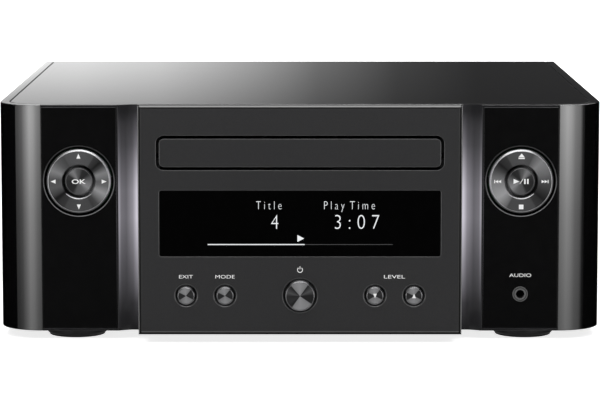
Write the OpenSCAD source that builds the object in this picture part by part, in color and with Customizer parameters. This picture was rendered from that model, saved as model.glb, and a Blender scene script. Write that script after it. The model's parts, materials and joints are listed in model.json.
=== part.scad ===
// Compact disc receiver with a sliding disc tray, as an assembly of separate pieces.
// Millimetres. X points right, Y points back and Z points up. The origin lies on the
// standing surface, in the middle of the footprint.

/* [Disc and tray] */
// Diameter of the disc that the tray carries
disc_d = 120; // [116:0.5:124]
// Radial room round the disc in its well
well_gap = 0.8; // [0.4:0.1:1.5]
// Depth of the disc well
well_depth = 5.5; // [4.5:0.1:6]
// Height of the tray moulding
tray_h = 7.5; // [7:0.1:8.5]
// Flat edge of the tray beside the disc well
tray_edge = 4; // [3:0.1:6]
// Flat nose of the tray in front of the disc well
tray_nose = 8; // [6:0.5:14]
// Width of the cut-out for turntable and pickup
tray_cut_w = 48; // [44:0.5:54]
// Side tongue that runs in the loader's groove
tray_tongue = 1.6; // [1:0.1:1.8]
// How far the tray front stands past the tray on each side
tray_lap = 0.6; // [0.4:0.1:1.5]
// Height of the tray front
tray_front_h = 13.1; // [12:0.1:15]
// Thickness of the tray front
tray_front_t = 3.5; // [3:0.1:4.5]
// Corner radius of the tray front
tray_front_r = 2.2; // [1:0.1:4]
// Gap all round the tray front
tray_gap = 1.35; // [1.2:0.05:2]
// How far the tray slides out
tray_travel = 134; // [120:1:142]
// Centre of the tray front below the top of the centre panel
tray_drop = 22.2; // [20:0.1:24]

/* [Centre panel] */
// Width of the panel beside the tray slot
panel_side = 8.5; // [7.5:0.1:12]
// Thickness of the centre panel
panel_t = 3; // [2.5:0.1:3.4]
// Chamfer round the front edges
panel_chamfer = 1.4; // [0.6:0.1:2]
// How far the panel stands in front of the windows
panel_proud = 12; // [11:0.1:15]
// How far the panel rises above the case
panel_rise = 1.2; // [0.5:0.1:2]
// How far the panel stands past its carrier at each side
panel_overhang = 2.4; // [2.2:0.1:2.8]
// Height of the display window
display_h = 30.5; // [26:0.1:32]
// Corner radius of the display window
display_r = 1; // [0.5:0.1:3]
// Gap between the display and the tray loader above it
display_room = 3.6; // [3:0.1:5]

/* [Buttons] */
// Diameter of the four small buttons
button_d = 8.4; // [7:0.1:10]
// Diameter of the power button
power_d = 14; // [12:0.1:16]
// Height of the button row, as a share of the room below the display
button_share = 0.504; // [0.42:0.002:0.56]
// Middle of the panel to the nearer small buttons, as a share of half the panel's width
button_inner = 0.463; // [0.38:0.001:0.5]
// Middle of the panel to the outer small buttons, as a share of half the panel's width
button_outer = 0.704; // [0.65:0.001:0.75]
// Radial clearance round every button
button_gap = 0.4; // [0.25:0.05:0.6]
// Countersink round the button holes
button_sink = 0.6; // [0.3:0.05:1]
// How far the small buttons stand out
button_proud = 1.2; // [0.8:0.1:1.9]
// How far the power button stands out
power_proud = 2; // [1.9:0.1:3]
// Travel of every button
button_travel = 0.8; // [0.4:0.1:1]

/* [Windows and pads] */
// Width of each gloss window
window_w = 34.9; // [34.4:0.1:42]
// Thickness of the windows
window_t = 3; // [2.5:0.1:4]
// Width of the scooped cove between window and panel
cove_w = 10.25; // [8:0.05:14]
// Depth of the cove
cove_depth = 3.6; // [2:0.1:3.8]
// Outer diameter of the four-way rings
pad_d = 29.7; // [28:0.1:30]
// Diameter of the hole in the four-way rings
pad_bore_d = 15.4; // [14.4:0.1:16]
// Diameter of the middle buttons
pad_centre_d = 13; // [10:0.1:13]
// Outer diameter of the trim rings
pad_trim_d = 33.2; // [32.6:0.1:33.6]
// How far the four-way rings stand out
pad_proud = 1.8; // [1:0.1:2.5]
// How far the middle buttons stand out
pad_centre_proud = 1.4; // [0.8:0.1:2.2]
// Centre of the pads below the case top
pad_drop = 35.3; // [33:0.1:38]
// Headphone jack below the button row
jack_below = 1.1; // [0:0.1:3]
// Bore of the headphone jack
jack_d = 3.6; // [3.5:0.05:3.8]
// Depth of that bore
jack_depth = 14; // [13:0.5:16]

/* [Case] */
// Overall height, feet included
body_h = 111; // [110:0.5:120]
// Depth of the case behind the windows
case_d = 269; // [262:1:300]
// Radius of the two front corners in plan
corner_r = 20.4; // [16:0.1:26]
// Wall of the side panels
side_wall = 2.5; // [2:0.1:3]
// Width of the rim round the top cover
rim_w = 4.3; // [4.2:0.1:6]
// Thickness of the rim
rim_t = 0.8; // [0.8:0.1:2]
// Steel sheet of chassis, rear panel and top cover
sheet = 1.2; // [0.8:0.1:1.5]
// Seam between fixed pieces
seam = 0.2; // [0.1:0.05:0.3]
// Diameter of the feet
foot_d = 28.5; // [20:0.5:32]
// Height of the feet with their pads
foot_h = 4.5; // [3.5:0.1:8]
// Soft pad under each foot
foot_pad_t = 0.7; // [0.5:0.1:1.5]
// Feet in from the sides of the case
foot_side = 35; // [30:1:50]
// Front feet behind the windows
foot_inset = 21; // [18:0.5:40]
// Rear feet in front of the rear panel
foot_back = 35; // [25:0.5:50]

/* [Disc mechanism] */
// Teeth of the loading gear
gear_teeth = 25; // [22:1:28]
// Teeth on the loading pulley
pulley_teeth = 18; // [17:1:20]
// Module of the loading teeth
gear_module = 0.8; // [0.75:0.01:0.85]
// Height of the rack and gear teeth
rack_h = 2.4; // [2:0.1:2.6]
// Teeth of the sled gear
sled_teeth = 24; // [20:1:26]
// Module of the sled teeth
sled_module = 0.5; // [0.48:0.01:0.55]
// Diameter of the turntable
turntable_d = 32; // [28:0.5:36]
// How far the disc is lifted out of the well
disc_lift = 3; // [2:0.1:3.5]
// Pickup travel towards the spindle
sled_in = 4; // [2:0.5:5]
// Pickup travel away from the spindle
sled_out = 32; // [28:0.5:34]

/* [Rear terminals] */
// Length of the speaker terminals behind the rear panel
terminal_len = 20; // [18:0.5:26]
// Diameter of the terminal caps
terminal_d = 13; // [11:0.5:15]
// Distance between terminals
terminal_pitch = 18; // [17:0.5:19]

/* [Hidden] */
$fn = 64;

// Widths, built up from the disc outwards
well_r = disc_d / 2 + well_gap;
tray_w = disc_d + 2 * tray_edge;
tray_front_w = tray_w + 2 * tray_lap;
slot_w = tray_front_w + 2 * tray_gap;
slot_h = tray_front_h + 2 * tray_gap;
display_w = tray_front_w;
panel_w = slot_w + 2 * panel_side;
x_block = panel_w / 2 - panel_overhang;
x_window0 = panel_w / 2 + cove_w;
x_window1 = x_window0 + window_w;
body_w = 2 * (x_window1 + corner_r);
x_pad = (x_window0 + x_window1) / 2;

// Depths, from the power button's face to the ends of the speaker terminals
body_d = power_proud + panel_proud + case_d + terminal_len;
y_panel = -body_d / 2 + power_proud;
y_wing = y_panel + panel_proud;
y_back = y_wing + case_d;
frame_t = 2.5;
y_frame0 = y_wing + window_t;
y_frame1 = y_frame0 + frame_t;

// Heights
z_case = foot_h;
z_top = body_h - panel_rise;
z_floor = z_case + sheet;
z_tray = body_h - tray_drop;
z_pad = z_top - pad_drop;

// Front carrier and its boards
block_wall = 2;
x_block_in = x_block - block_wall;
board_t = 1.6;
board_room = 9.5;
y_board = y_panel + panel_t + board_room;
switch_size = 6;
switch_h = 4.3;
plunger_t = 0.8;
press_gap = 0.15;
stem_r = 2;
flange_t = 1.2;
flange_w = 1.2;
key_room = 4.5;
y_keys = y_frame1 + key_room;
key_switch_h = 2.5;
key_board_w = 31;
key_board_h = 33;

// Four-way pads: the rings rock on a gimbal behind the window
trim_seat = 0.6;
pad_hole_r = pad_trim_d / 2 - trim_seat;
ring_back = 2.3;
pivot_back = 5;
gimbal_t = 2;
gimbal_r0 = 9;
gimbal_r1 = 12;
pin_r = 0.7;
pin_gap = 0.05;
pin_len = 1.9;
ear_gap = 0.6;
ear_half = 1.5;
ear_depth = 1.1;
lug_r0 = gimbal_r1 + ear_gap;
lug_t = 1.6;

// Details of the front pieces
button_inner_x = button_inner * panel_w / 2;
button_outer_x = button_outer * panel_w / 2;
small_button_x = [-button_outer_x, -button_inner_x, button_inner_x, button_outer_x];
button_edge = 0.5;
flange_gap = 0.3;
display_sink = 0.3;
display_in = 1.5;
guide_end = 8;
guide_in = 0.5;
cove_edge = 0.6;
scoop_in = 1;
key_posts = [[13, 14], [-13, -14]];
key_post_r = 2.2;
key_switch_r = 8;
pad_gap = 0.45;
trim_face = 0.5;
trim_proud = 0.25;
trim_lip = 1;
ring_edge = 0.7;
ring_clear = 0.8;
jack_nut_r = 3.6;
jack_nut_t = 0.5;
jack_barrel_r = 2.8;
jack_box = 9;
ribbon_t = 0.5;
ribbon_w = 20;
ribbon_rise = 2.5;
ribbon_drop = 1.5;
ribbon_bend = 6;

// Tray, loader and gears
slot_clear = 0.7;
tray_z0 = z_tray - slot_h / 2 + slot_clear + rack_h;
tray_z1 = tray_z0 + tray_h;
well_z = tray_z1 - well_depth;
disc_z = well_z + disc_lift;
disc_t = 1.2;
y_tray0 = y_panel + tray_front_t;
y_disc = y_tray0 + tray_nose + well_r;
gear_setback = 20;
y_gear = y_panel + gear_setback;
rack_end = 6;
rack_w = 5;
tray_tail = 2;
y_tray1 = y_gear + tray_travel + rack_end + tray_tail;
loader_gap = 0.4;
loader_wall = 4.8;
loader_floor = 2.5;
x_rail = tray_w / 2 + loader_gap;
x_loader = x_rail + loader_wall;
tongue_h = 2;
tongue_z = tray_z0 + tongue_h;
gear_t = rack_h - loader_gap;
gear_z = tray_z0 - rack_h;
pulley_t = 3;
step_gap = 0.5;
pulley_z = gear_z - step_gap - pulley_t;
loader_z1 = pulley_z - step_gap;
loader_z0 = loader_z1 - loader_floor;
z_display = loader_z0 - display_room - display_h / 2;
z_buttons = z_case + button_share * (z_display - display_h / 2 - z_case);
z_jack = z_buttons - jack_below;
loader_room = 3;
loader_end = 6;
rail_room = 5.5;
y_loader0 = y_panel + panel_t + loader_room;
y_loader1 = y_tray1 + loader_end;
z_rail_top = tray_z1 + rail_room;
leg_r = 4;
leg_in = 9;
gear_r = gear_teeth * gear_module / 2;
pulley_gear_r = pulley_teeth * gear_module / 2;
rack_line = 49.2;
x_gear = rack_line - gear_r;
x_pulley = x_gear - gear_r - pulley_gear_r;
pulley_groove_r = 11.5;
pulley_r = 13;
motor_groove_r = 3;
motor_pulley_r = 4.2;
motor_side = 38;
motor_set_back = 14;
x_motor = x_pulley - motor_side;
y_motor = y_gear + motor_set_back;
motor_r = 10;
motor_h = 15;
belt_t = 1.2;
belt_h = 1.4;
belt_gap = 0.3;
post_r = 1.5;
post_gap = 0.06;
// Overlap of shapes that join into one piece
lap = 0.3;

// Traverse with spindle, sled and sled gear
trav_t = 6;
trav_drop = 3;
trav_z1 = tray_z0 - trav_drop;
trav_z0 = trav_z1 - trav_t;
trav_w = 64;
trav_cut_w = 48;
trav_front = 22;
spindle_seat = 13;
y_trav0 = y_disc - trav_front;
y_cut0 = y_disc + spindle_seat;
sled_front = 8;
sled_back = 16;
sled_rest = 26;
y_sled = y_disc + sled_rest;
sled_end_gap = 2;
trav_end = 7;
y_cut1 = y_sled + sled_out + sled_back + sled_end_gap;
y_trav1 = y_cut1 + trav_end;
y_hinge = y_trav1 - trav_end / 2;
hinge_r = 2;
hinge_len = 3;
hinge_wall = 2;
hinge_ear = 4;
trav_room = 4;
shaft_room = 0.6;
z_hinge = trav_z0 + trav_t / 2;
rod_r = 1.5;
rod_x = 17;
sled_w = 42;
sled_t = 8;
sled_drop = 0.5;
sled_z0 = trav_z0 - sled_drop;
sled_rack_x = 23;
sled_gear_r = sled_teeth * sled_module / 2;
sled_gear_t = 2;
sled_gear_gap = 0.3;
sled_gear_z = trav_z1 + sled_gear_gap;
y_sled_gear = y_sled + (sled_out - sled_in) / 2;
x_sled_gear = sled_rack_x + sled_gear_r;
sled_rack_end = 3;
sled_rack_w = 4;
sled_rack_half = (sled_in + sled_out) / 2 + sled_rack_end;
spindle_r = 1;
spindle_motor_r = 11;
spindle_motor_h = 12;
hub_r = 7.4;
hub_h = 2.2;
table_t = 2.8;
table_gap = 0.4;
table_boss_r = 4;
puck_r = 14;
puck_flange_r = 18;
puck_flange_t = 2;
puck_gap = 0.5;
puck_lift = 0.1;
hub_room = 1;
sled_shaft_r = 0.75;
sled_motor_r = 7;
sled_motor_h = 10;
rod_seat = 4;
rod_gap = 0.03;
lens_room = 3.2;
lens_z = disc_z - lens_room;
lens_r = 2.6;
lens_seat = 0.6;
lens_curve = 4.5;
lens_bulge = 0.7;
lens_gap = 0.1;
lens_holder_r = 4.5;
bridge_half = 24;
bridge_t = 2;
tray_cut_front = 20;

// Case details
foot_span = body_w - 2 * foot_side;
foot_places = [for (x = [-0.5, 0.5] * foot_span, y = [y_wing + foot_inset, y_back - foot_back]) [x, y]];
foot_taper = 0.2;
foot_break = 0.7;
foot_pad_in = 1.2;
ledge_t = 1.6;
ledge_w = 4;
flange_up = 14;
standoff_in = 6;
standoff_r = 3;
vent_w = 3;
vent_len = 30;
vent_pitch = 7;
vent_count = 6;
vent_y = 0;
screw_r = 1.4;
screw_head_r = 2.8;
screw_head_t = 1.8;
screw_len = 5;

// Rear zone
main_w = 124;
main_d = 58;
main_lift = 8;
main_z = z_floor + main_lift;
x_main0 = -58;
main_back = 18;
y_main1 = y_back - main_back;
y_main0 = y_main1 - main_d;
// Soldered parts on the main board: place, size
chips = [
    [30, 8, 14, 14, 2], [52, 6, 20, 14, 2.4], [75, 8, 9, 9, 1.8],
    [12, 30, 24, 18, 9], [60, 34, 6, 12, 8]
];
// Electrolytic cans: place, radius, height
cans = [[96, 18, 9, 30], [96, 40, 9, 30], [75, 44, 6, 20], [114, 44, 5, 16]];
trafo_gap = 8;
trafo_w = 52;
trafo_d = 44;
trafo_h = 44;
coil_in = 7;
coil_out = 9;
sink_w = 44;
sink_d = 50;
sink_base = 6;
sink_fin = 2;
sink_fins = 8;
sink_h = 46;
x_terminals = -38;
terminal_up = 34;
z_terminals = z_case + terminal_up;
terminal_side = 9;
terminal_body_w = 3 * terminal_pitch + 2 * terminal_side;
terminal_body_h = 20;
terminal_seat = 2;
terminal_depth = 10;
cap_gap = 1.2;
cap_flutes = 12;
flute_depth = 0.7;
flute_w = 1.2;
flute_end = 2;
stud_gap = 0.08;
stud_short = 3;
stud_r = 2;
function terminal_x(i) = x_terminals + (i - 1.5) * terminal_pitch;
inlet_in = 36;
inlet_up = 20;
x_inlet = -body_w / 2 + inlet_in;
z_inlet = z_case + inlet_up;
inlet_w = 26;
inlet_h = 16;
inlet_depth = 11;
inlet_floor = 2;
inlet_cavity_w = 20;
inlet_cavity_h = 9.6;
inlet_cavity_r = 4.6;
inlet_pin_x = 4.3;
inlet_pin_r = 1.2;
x_sockets = 24;
socket_drop = 36;
z_sockets = z_top - socket_drop;
socket_body_w = 44;
socket_body_h = 28;
socket_seat = 1.5;
socket_flange = 2;
socket_depth = 10;
phono_r = 4.15;
phono_bore_r = 1.7;
phono_len = 8.5;
phono_pitch = 14;
phono_places = [
    for (i = [-1:1], k = [-0.5, 0.5]) [x_sockets + i * phono_pitch, z_sockets + k * phono_pitch]
];
x_antenna = 70;
antenna_body_r = 4.7;
optical_w = 10;
optical_x = [-28, -12];
rear_vent_x = 78;
rear_vent_up = 40;
z_rear_vent = z_case + rear_vent_up;
screw_in = 12;
screw_x = body_w / 2 - screw_in;
screw_places = [for (x = [-screw_x, screw_x], z = [z_case + screw_in, z_top - screw_in]) [x, z]];

// Outlines and helpers

// Rectangle with round corners, about its middle
module rounded_rect(size, r) {
    square([size[0] - 2 * r, size[1]], center = true);
    square([size[0], size[1] - 2 * r], center = true);
    for (sx = [-1, 1], sy = [-1, 1])
        translate([sx * (size[0] / 2 - r), sy * (size[1] / 2 - r)]) circle(r);
}

// An outline in X and Z, as a plate from y to y + t
module upright(y, t) {
    translate([0, y + t, 0]) rotate([90, 0, 0]) linear_extrude(t) children();
}

// An outline in Y and Z, drawn out along X from x to x + l
module along_x(x, l) {
    translate([x, 0, 0]) rotate([90, 0, 90]) linear_extrude(l) children();
}

// A flat outline, drawn up from z to z + h
module rise(z, h) {
    translate([0, 0, z]) linear_extrude(h) children();
}

// A block between two corners
module block(low, high) {
    translate(low) cube(high - low);
}

// A block from y0 to y1 with its middle on x and z
module box_y(x, z, size, y0, y1) {
    block([x - size[0] / 2, y0, z - size[1] / 2], [x + size[0] / 2, y1, z + size[1] / 2]);
}

// A round bar along Y
module bar_y(x, z, y0, y1, r) {
    translate([x, y1, z]) rotate([90, 0, 0]) cylinder(h = y1 - y0, r = r);
}

// A round bar along X
module bar_x(y, z, x0, x1, r) {
    translate([x0, y, z]) rotate([0, 90, 0]) cylinder(h = x1 - x0, r = r);
}

// A round bar along Z
module bar_z(x, y, z0, z1, r) {
    translate([x, y, z0]) cylinder(h = z1 - z0, r = r);
}

// A turned piece on an axis along Y: the profile holds [radius, depth behind y]
module turned(x, y, z) {
    translate([x, y, z]) rotate([-90, 0, 0]) rotate_extrude() children();
}

// The left or the right one of a pair
module side(s) {
    if (s > 0) children();
    else mirror([1, 0, 0]) children();
}

// Plan of the case, drawn in by inset at the sides and the front
module case_plan(inset) {
    r = corner_r - inset;
    half = body_w / 2 - inset;
    y0 = y_wing + inset;
    translate([-(half - r), y0]) square([2 * (half - r), y_back - y0]);
    translate([-half, y0 + r]) square([2 * half, y_back - y0 - r]);
    for (s = [-1, 1]) translate([s * (half - r), y0 + r]) circle(r);
}

// Involute gear teeth
pressure = 20;
tooth_play = 0.12;
function involute(a) = tan(a) * 180 / PI - a;
function tooth_half(r, n, m) =
    let (rp = n * m / 2, rb = rp * cos(pressure))
    90 / n - tooth_play / rp * 90 / PI + involute(pressure) - involute(acos(min(1, rb / max(r, rb))));
function flank_radii(n, m) = [for (i = [0:4]) n * m / 2 - 1.25 * m + 2.25 * m * i / 4];
// One tooth after the other, up one flank and down the next
function gear_outline(n, m) = [
    for (k = [0:n - 1], i = [0:9])
        let (radii = flank_radii(n, m), up = i < 5, r = radii[up ? i : 9 - i],
             a = 360 * k / n + (up ? -1 : 1) * tooth_half(r, n, m))
        [r * cos(a), r * sin(a)]
];
module gear_plan(n, m) {
    polygon(gear_outline(n, m));
}

// Straight rack along Y: a tooth is centred on y = 0 and the teeth point to -X.
// The pitch line is x = 0 and the back of the rack is at x = back.
module rack_plan(y0, y1, m, back) {
    pitch = PI * m;
    first = ceil(y0 / pitch);
    last = floor(y1 / pitch);
    tip = pitch / 4 - tooth_play / 2 - m * tan(pressure);
    root = pitch / 4 - tooth_play / 2 + 1.25 * m * tan(pressure);
    polygon(concat(
        [[back, y1], [back, y0], [1.25 * m, y0]],
        [for (k = [first:last], p = [[1.25 * m, -root], [-m, -tip], [-m, tip], [1.25 * m, root]])
            [p[0], k * pitch + p[1]]],
        [[1.25 * m, y1]]
    ));
}

// Loop round both pulleys, at a distance from their grooves
belt_heading = atan2(y_motor - y_gear, x_motor - x_pulley);
belt_spread = acos((pulley_groove_r - motor_groove_r) / norm([x_motor - x_pulley, y_motor - y_gear]));
belt_steps = 24;
function arc_points(centre, r, from, to) =
    [for (i = [0:belt_steps]) let (a = from + (to - from) * i / belt_steps) centre + r * [cos(a), sin(a)]];
function belt_loop(distance) = concat(
    arc_points([x_pulley, y_gear], pulley_groove_r + distance,
               belt_heading + belt_spread, belt_heading + 360 - belt_spread),
    arc_points([x_motor, y_motor], motor_groove_r + distance,
               belt_heading - belt_spread, belt_heading + belt_spread)
);

// A grooved pulley wheel standing on z
module pulley_wheel(r, groove_r, z) {
    groove_h = belt_h + 2 * belt_gap;
    flange = (pulley_t - groove_h) / 2;
    translate([0, 0, z]) rotate_extrude() polygon([
        [0, 0], [r, 0], [r, flange], [groove_r, flange],
        [groove_r, flange + groove_h], [r, flange + groove_h], [r, pulley_t], [0, pulley_t]
    ]);
}

// Case

module base_chassis() {
    half = body_w / 2 - side_wall - seam;
    color("dimgray") difference() {
        union() {
            rise(z_case, sheet) difference() {
                case_plan(side_wall + seam);
                translate([-x_window1 - seam, y_wing])
                    square([2 * (x_window1 + seam), y_frame1 - y_wing + seam]);
                translate([-body_w / 2, y_back - sheet]) square([body_w, 2 * sheet]);
            }
            for (s = [-1, 1]) side(s)
                block(
                    [half - sheet, y_wing + corner_r, z_case],
                    [half, y_back - sheet, z_floor + flange_up]
                );
            for (x = [x_main0 + standoff_in, x_main0 + main_w - standoff_in])
                for (y = [y_main0 + standoff_in, y_main1 - standoff_in])
                    bar_z(x, y, z_case, main_z, standoff_r);
        }
        for (i = [-3:3]) translate([i * vent_pitch - vent_w / 2, vent_y - vent_len / 2, z_case - 1])
            cube([vent_w, vent_len, sheet + 2]);
    }
}

// Opening in the rear panel for a body of the given size
module cut_out(x, z, size) {
    translate([x, z]) square(size + 2 * [seam, seam], center = true);
}

module rear_panel() {
    half = body_w / 2 - side_wall - seam;
    color("dimgray") difference() {
        block([-half, y_back - sheet, z_case], [half, y_back, z_top - sheet]);
        upright(y_back - sheet - 1, sheet + 2) {
            cut_out(x_terminals, z_terminals, [terminal_body_w, terminal_body_h]);
            cut_out(x_sockets, z_sockets, [socket_body_w, socket_body_h]);
            cut_out(x_inlet, z_inlet, [inlet_w, inlet_h]);
            for (x = optical_x) cut_out(x, z_sockets, [optical_w, optical_w]);
            translate([x_antenna, z_sockets]) circle(antenna_body_r + seam);
            for (p = screw_places) translate(p) circle(screw_r + seam);
            for (i = [0:vent_count - 1])
                cut_out(rear_vent_x + i * vent_pitch, z_rear_vent, [vent_w, vent_len]);
        }
    }
}

module top_cover() {
    color("gray") rise(z_top - sheet, sheet) case_plan(rim_w + 2 * seam);
}

// Right-hand side panel: wall, rim and the ledge that the top cover rests on
module side_panel() {
    y_end = y_back - sheet - seam;
    module strip(width, y1) {
        intersection() {
            difference() {
                case_plan(0);
                case_plan(width);
            }
            translate([x_window1, y_wing - 1]) square([corner_r + 1, y1 - y_wing + 1]);
        }
    }
    rise(z_case, z_top - z_case) strip(side_wall, y_back);
    rise(z_top - sheet, sheet) strip(rim_w, y_back);
    rise(z_top - sheet - ledge_t, ledge_t) strip(rim_w + ledge_w, y_end);
}

module left_side_panel() {
    color("black") side(-1) side_panel();
}

module right_side_panel() {
    color("black") side(1) side_panel();
}

module feet() {
    r = foot_d / 2;
    color("darkslategray") for (p = foot_places)
        translate([p[0], p[1], 0]) rotate_extrude() polygon([
            [0, foot_pad_t], [r - foot_taper - foot_break, foot_pad_t],
            [r - foot_taper, foot_pad_t + foot_break], [r, foot_h], [0, foot_h]
        ]);
}

module foot_pads() {
    color("dimgray") for (p = foot_places) bar_z(p[0], p[1], 0, foot_pad_t, foot_d / 2 - foot_pad_in);
}

module case_screws() {
    color("silver") for (p = screw_places) {
        bar_y(p[0], p[1], y_back, y_back + screw_head_t, screw_head_r);
        bar_y(p[0], p[1], y_back - screw_len, y_back, screw_r);
    }
}

// Front

// Everything of the front frame on the right, apart from the jack's hole
module frame_wing() {
    scoop_x = panel_w / 2 - scoop_in;
    chord = x_window0 - cove_edge - scoop_x;
    scoop_r = (chord * chord + cove_depth * cove_depth) / (2 * cove_depth);
    y_pivot = y_wing + pivot_back;
    difference() {
        union() {
            block([x_block_in, y_frame0, z_case], [x_window1, y_frame1, z_top]);
            for (z = [z_case, z_top - rim_t])
                block([x_window0 - 1, y_wing, z], [x_window1, y_frame1, z + rim_t]);
            rise(z_case, z_top - z_case) difference() {
                translate([x_block_in, y_wing]) square([x_window0 - x_block_in, y_frame1 - y_wing]);
                translate([scoop_x, y_wing + cove_depth - scoop_r]) circle(scoop_r);
                translate([x_block_in - 1, y_wing - 1])
                    square([scoop_x - x_block_in + 1, cove_depth + 1]);
            }
        }
        bar_y(x_pad, z_pad, y_frame0 - 1, y_frame1 + 1, pad_hole_r);
    }
    for (s = [-1, 1]) translate([x_pad, 0, z_pad]) side(s) difference() {
        block(
            [lug_r0, y_pivot - ear_depth, -ear_half],
            [pad_hole_r + 1, y_pivot + ear_depth, ear_half]
        );
        bar_x(y_pivot, 0, 0, gimbal_r1 + pin_len + ear_gap, pin_r + pin_gap);
    }
    for (p = key_posts) bar_y(x_pad + p[0], z_pad + p[1], y_frame0 + 1, y_keys, key_post_r);
}

module front_frame() {
    color("black") difference() {
        union() {
            for (s = [-1, 1]) side(s) frame_wing();
            upright(y_panel + panel_t, y_frame1 - y_panel - panel_t) difference() {
                translate([-x_block, z_case]) square([2 * x_block, z_top - z_case]);
                translate([-x_block_in, z_case + block_wall])
                    square([2 * x_block_in, z_top - z_case - 2 * block_wall]);
            }
        }
        bar_y(x_pad, z_jack, y_wing, y_frame1 + 1, jack_barrel_r + seam);
        block(
            [-x_window1 - 1, y_wing + rim_w, z_top - sheet - seam],
            [x_window1 + 1, y_frame1 + 1, z_top + 1]
        );
    }
}

module centre_panel() {
    y1 = y_panel + panel_t;
    c = panel_chamfer;
    half = panel_w / 2;
    color("dimgray") difference() {
        intersection() {
            rise(z_case, body_h - z_case) polygon([
                [-half, y1], [-half, y_panel + c], [-half + c, y_panel],
                [half - c, y_panel], [half, y_panel + c], [half, y1]
            ]);
            along_x(-half, panel_w) polygon([
                [y1, z_case], [y_panel + c, z_case], [y_panel, z_case + c],
                [y_panel, body_h - c], [y_panel + c, body_h], [y1, body_h]
            ]);
        }
        upright(y_panel - 1, panel_t + 2) {
            translate([0, z_tray]) rounded_rect([slot_w, slot_h], tray_front_r + tray_gap);
            translate([0, z_display]) rounded_rect([display_w, display_h], display_r);
        }
        button_hole(0, power_d / 2);
        for (x = small_button_x) button_hole(x, button_d / 2);
    }
}

// Countersunk hole for a button of radius r
module button_hole(x, r) {
    hole_r = r + button_gap;
    turned(x, y_panel - 1, z_buttons) polygon([
        [0, 0], [hole_r + button_sink + 1, 0], [hole_r, button_sink + 1],
        [hole_r, panel_t + 2], [0, panel_t + 2]
    ]);
}

module window_plate() {
    difference() {
        block(
            [x_window0 + seam, y_wing, z_case + rim_t + seam],
            [x_window1 - seam, y_frame0, z_top - rim_t - seam]
        );
        bar_y(x_pad, z_pad, y_wing - 1, y_frame0 + 1, (pad_trim_d + seam) / 2);
    }
}

module left_window() {
    color("black") side(-1) window_plate();
}

module right_window() {
    color("black") difference() {
        window_plate();
        bar_y(x_pad, z_jack, y_wing - 1, y_frame0 + 1, jack_barrel_r + seam);
    }
}

module light_guides() {
    color("white") for (s = [-1, 1]) side(s)
        block(
            [x_block, y_panel + panel_t + seam, z_case + guide_end],
            [panel_w / 2 - guide_in, y_wing - guide_in, z_top - guide_end]
        );
}

module pad_trim_rings() {
    r = pad_trim_d / 2;
    inner = pad_d / 2 + pad_gap;
    color("silver") for (s = [-1, 1]) turned(s * x_pad, y_wing, z_pad) polygon([
        [inner, window_t], [inner, window_t - trim_lip], [r - trim_face, -trim_proud],
        [r, -trim_proud], [r, window_t]
    ]);
}

module display_window() {
    color("black") upright(y_panel + display_sink, panel_t - display_sink - seam)
        translate([0, z_display]) rounded_rect([display_w - seam, display_h - seam], display_r - seam / 2);
}

// A button with its flange behind the panel and its stem: x, radius, height in front
module push_button(x, r, proud) {
    back = proud + panel_t + flange_gap;
    end = y_board - switch_h - button_travel - press_gap - (y_panel - proud);
    turned(x, y_panel - proud, z_buttons) polygon([
        [0, 0], [r - button_edge, 0], [r, button_edge], [r, back], [r + flange_w, back],
        [r + flange_w, back + flange_t], [stem_r, back + flange_t], [stem_r, end], [0, end]
    ]);
}

module back_button() {
    color("gray") push_button(small_button_x[0], button_d / 2, button_proud);
}

module input_button() {
    color("gray") push_button(small_button_x[1], button_d / 2, button_proud);
}

module power_button() {
    color("gray") push_button(0, power_d / 2, power_proud);
}

module volume_down_button() {
    color("gray") push_button(small_button_x[2], button_d / 2, button_proud);
}

module volume_up_button() {
    color("gray") push_button(small_button_x[3], button_d / 2, button_proud);
}

// The four-way ring of a pad, with the two lugs that hang on its gimbal
module pad_ring(x) {
    r0 = pad_bore_d / 2;
    r1 = pad_d / 2;
    depth = pad_proud + ring_back;
    y_pivot = y_wing + pivot_back;
    color("gray") difference() {
        union() {
            turned(x, y_wing - pad_proud, z_pad) polygon([
                [r0, ring_edge / 2], [r0 + ring_edge / 2, 0], [r1 - ring_edge, 0],
                [r1, ring_edge], [r1, depth], [r0, depth]
            ]);
            for (z = [z_pad + lug_r0, z_pad - lug_r0 - lug_t]) block(
                [x - ear_half, y_wing + ring_back - 1, z],
                [x + ear_half, y_pivot + ear_depth, z + lug_t]
            );
        }
        bar_z(x, y_pivot, z_pad - lug_r0 - lug_t - 1, z_pad + lug_r0 + lug_t + 1, pin_r + pin_gap);
    }
}

module pad_gimbal(x) {
    y_pivot = y_wing + pivot_back;
    reach = gimbal_r1 + pin_len;
    color("dimgray") difference() {
        union() {
            bar_y(x, z_pad, y_pivot - gimbal_t / 2, y_pivot + gimbal_t / 2, gimbal_r1);
            bar_x(y_pivot, z_pad, x - reach, x + reach, pin_r);
            bar_z(x, y_pivot, z_pad - reach, z_pad + reach, pin_r);
        }
        bar_y(x, z_pad, y_pivot - gimbal_t, y_pivot + gimbal_t, gimbal_r0);
    }
}

// The middle button of a pad; its flange lies behind the ring
module pad_button(x) {
    r = pad_centre_d / 2;
    back = pad_centre_proud + ring_back + ring_clear;
    end = pad_centre_proud + (y_keys - key_switch_h - button_travel - press_gap - y_wing);
    color("gray") turned(x, y_wing - pad_centre_proud, z_pad) polygon([
        [0, 0], [r - button_edge, 0], [r, button_edge], [r, back], [gimbal_r0 - ear_gap, back],
        [gimbal_r0 - ear_gap, back + flange_t], [stem_r, back + flange_t], [stem_r, end], [0, end]
    ]);
}

module menu_gimbal() {
    pad_gimbal(-x_pad);
}

module menu_ring() {
    pad_ring(-x_pad);
}

module enter_button() {
    pad_button(-x_pad);
}

module transport_gimbal() {
    pad_gimbal(x_pad);
}

module transport_ring() {
    pad_ring(x_pad);
}

module play_button() {
    pad_button(x_pad);
}

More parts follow.
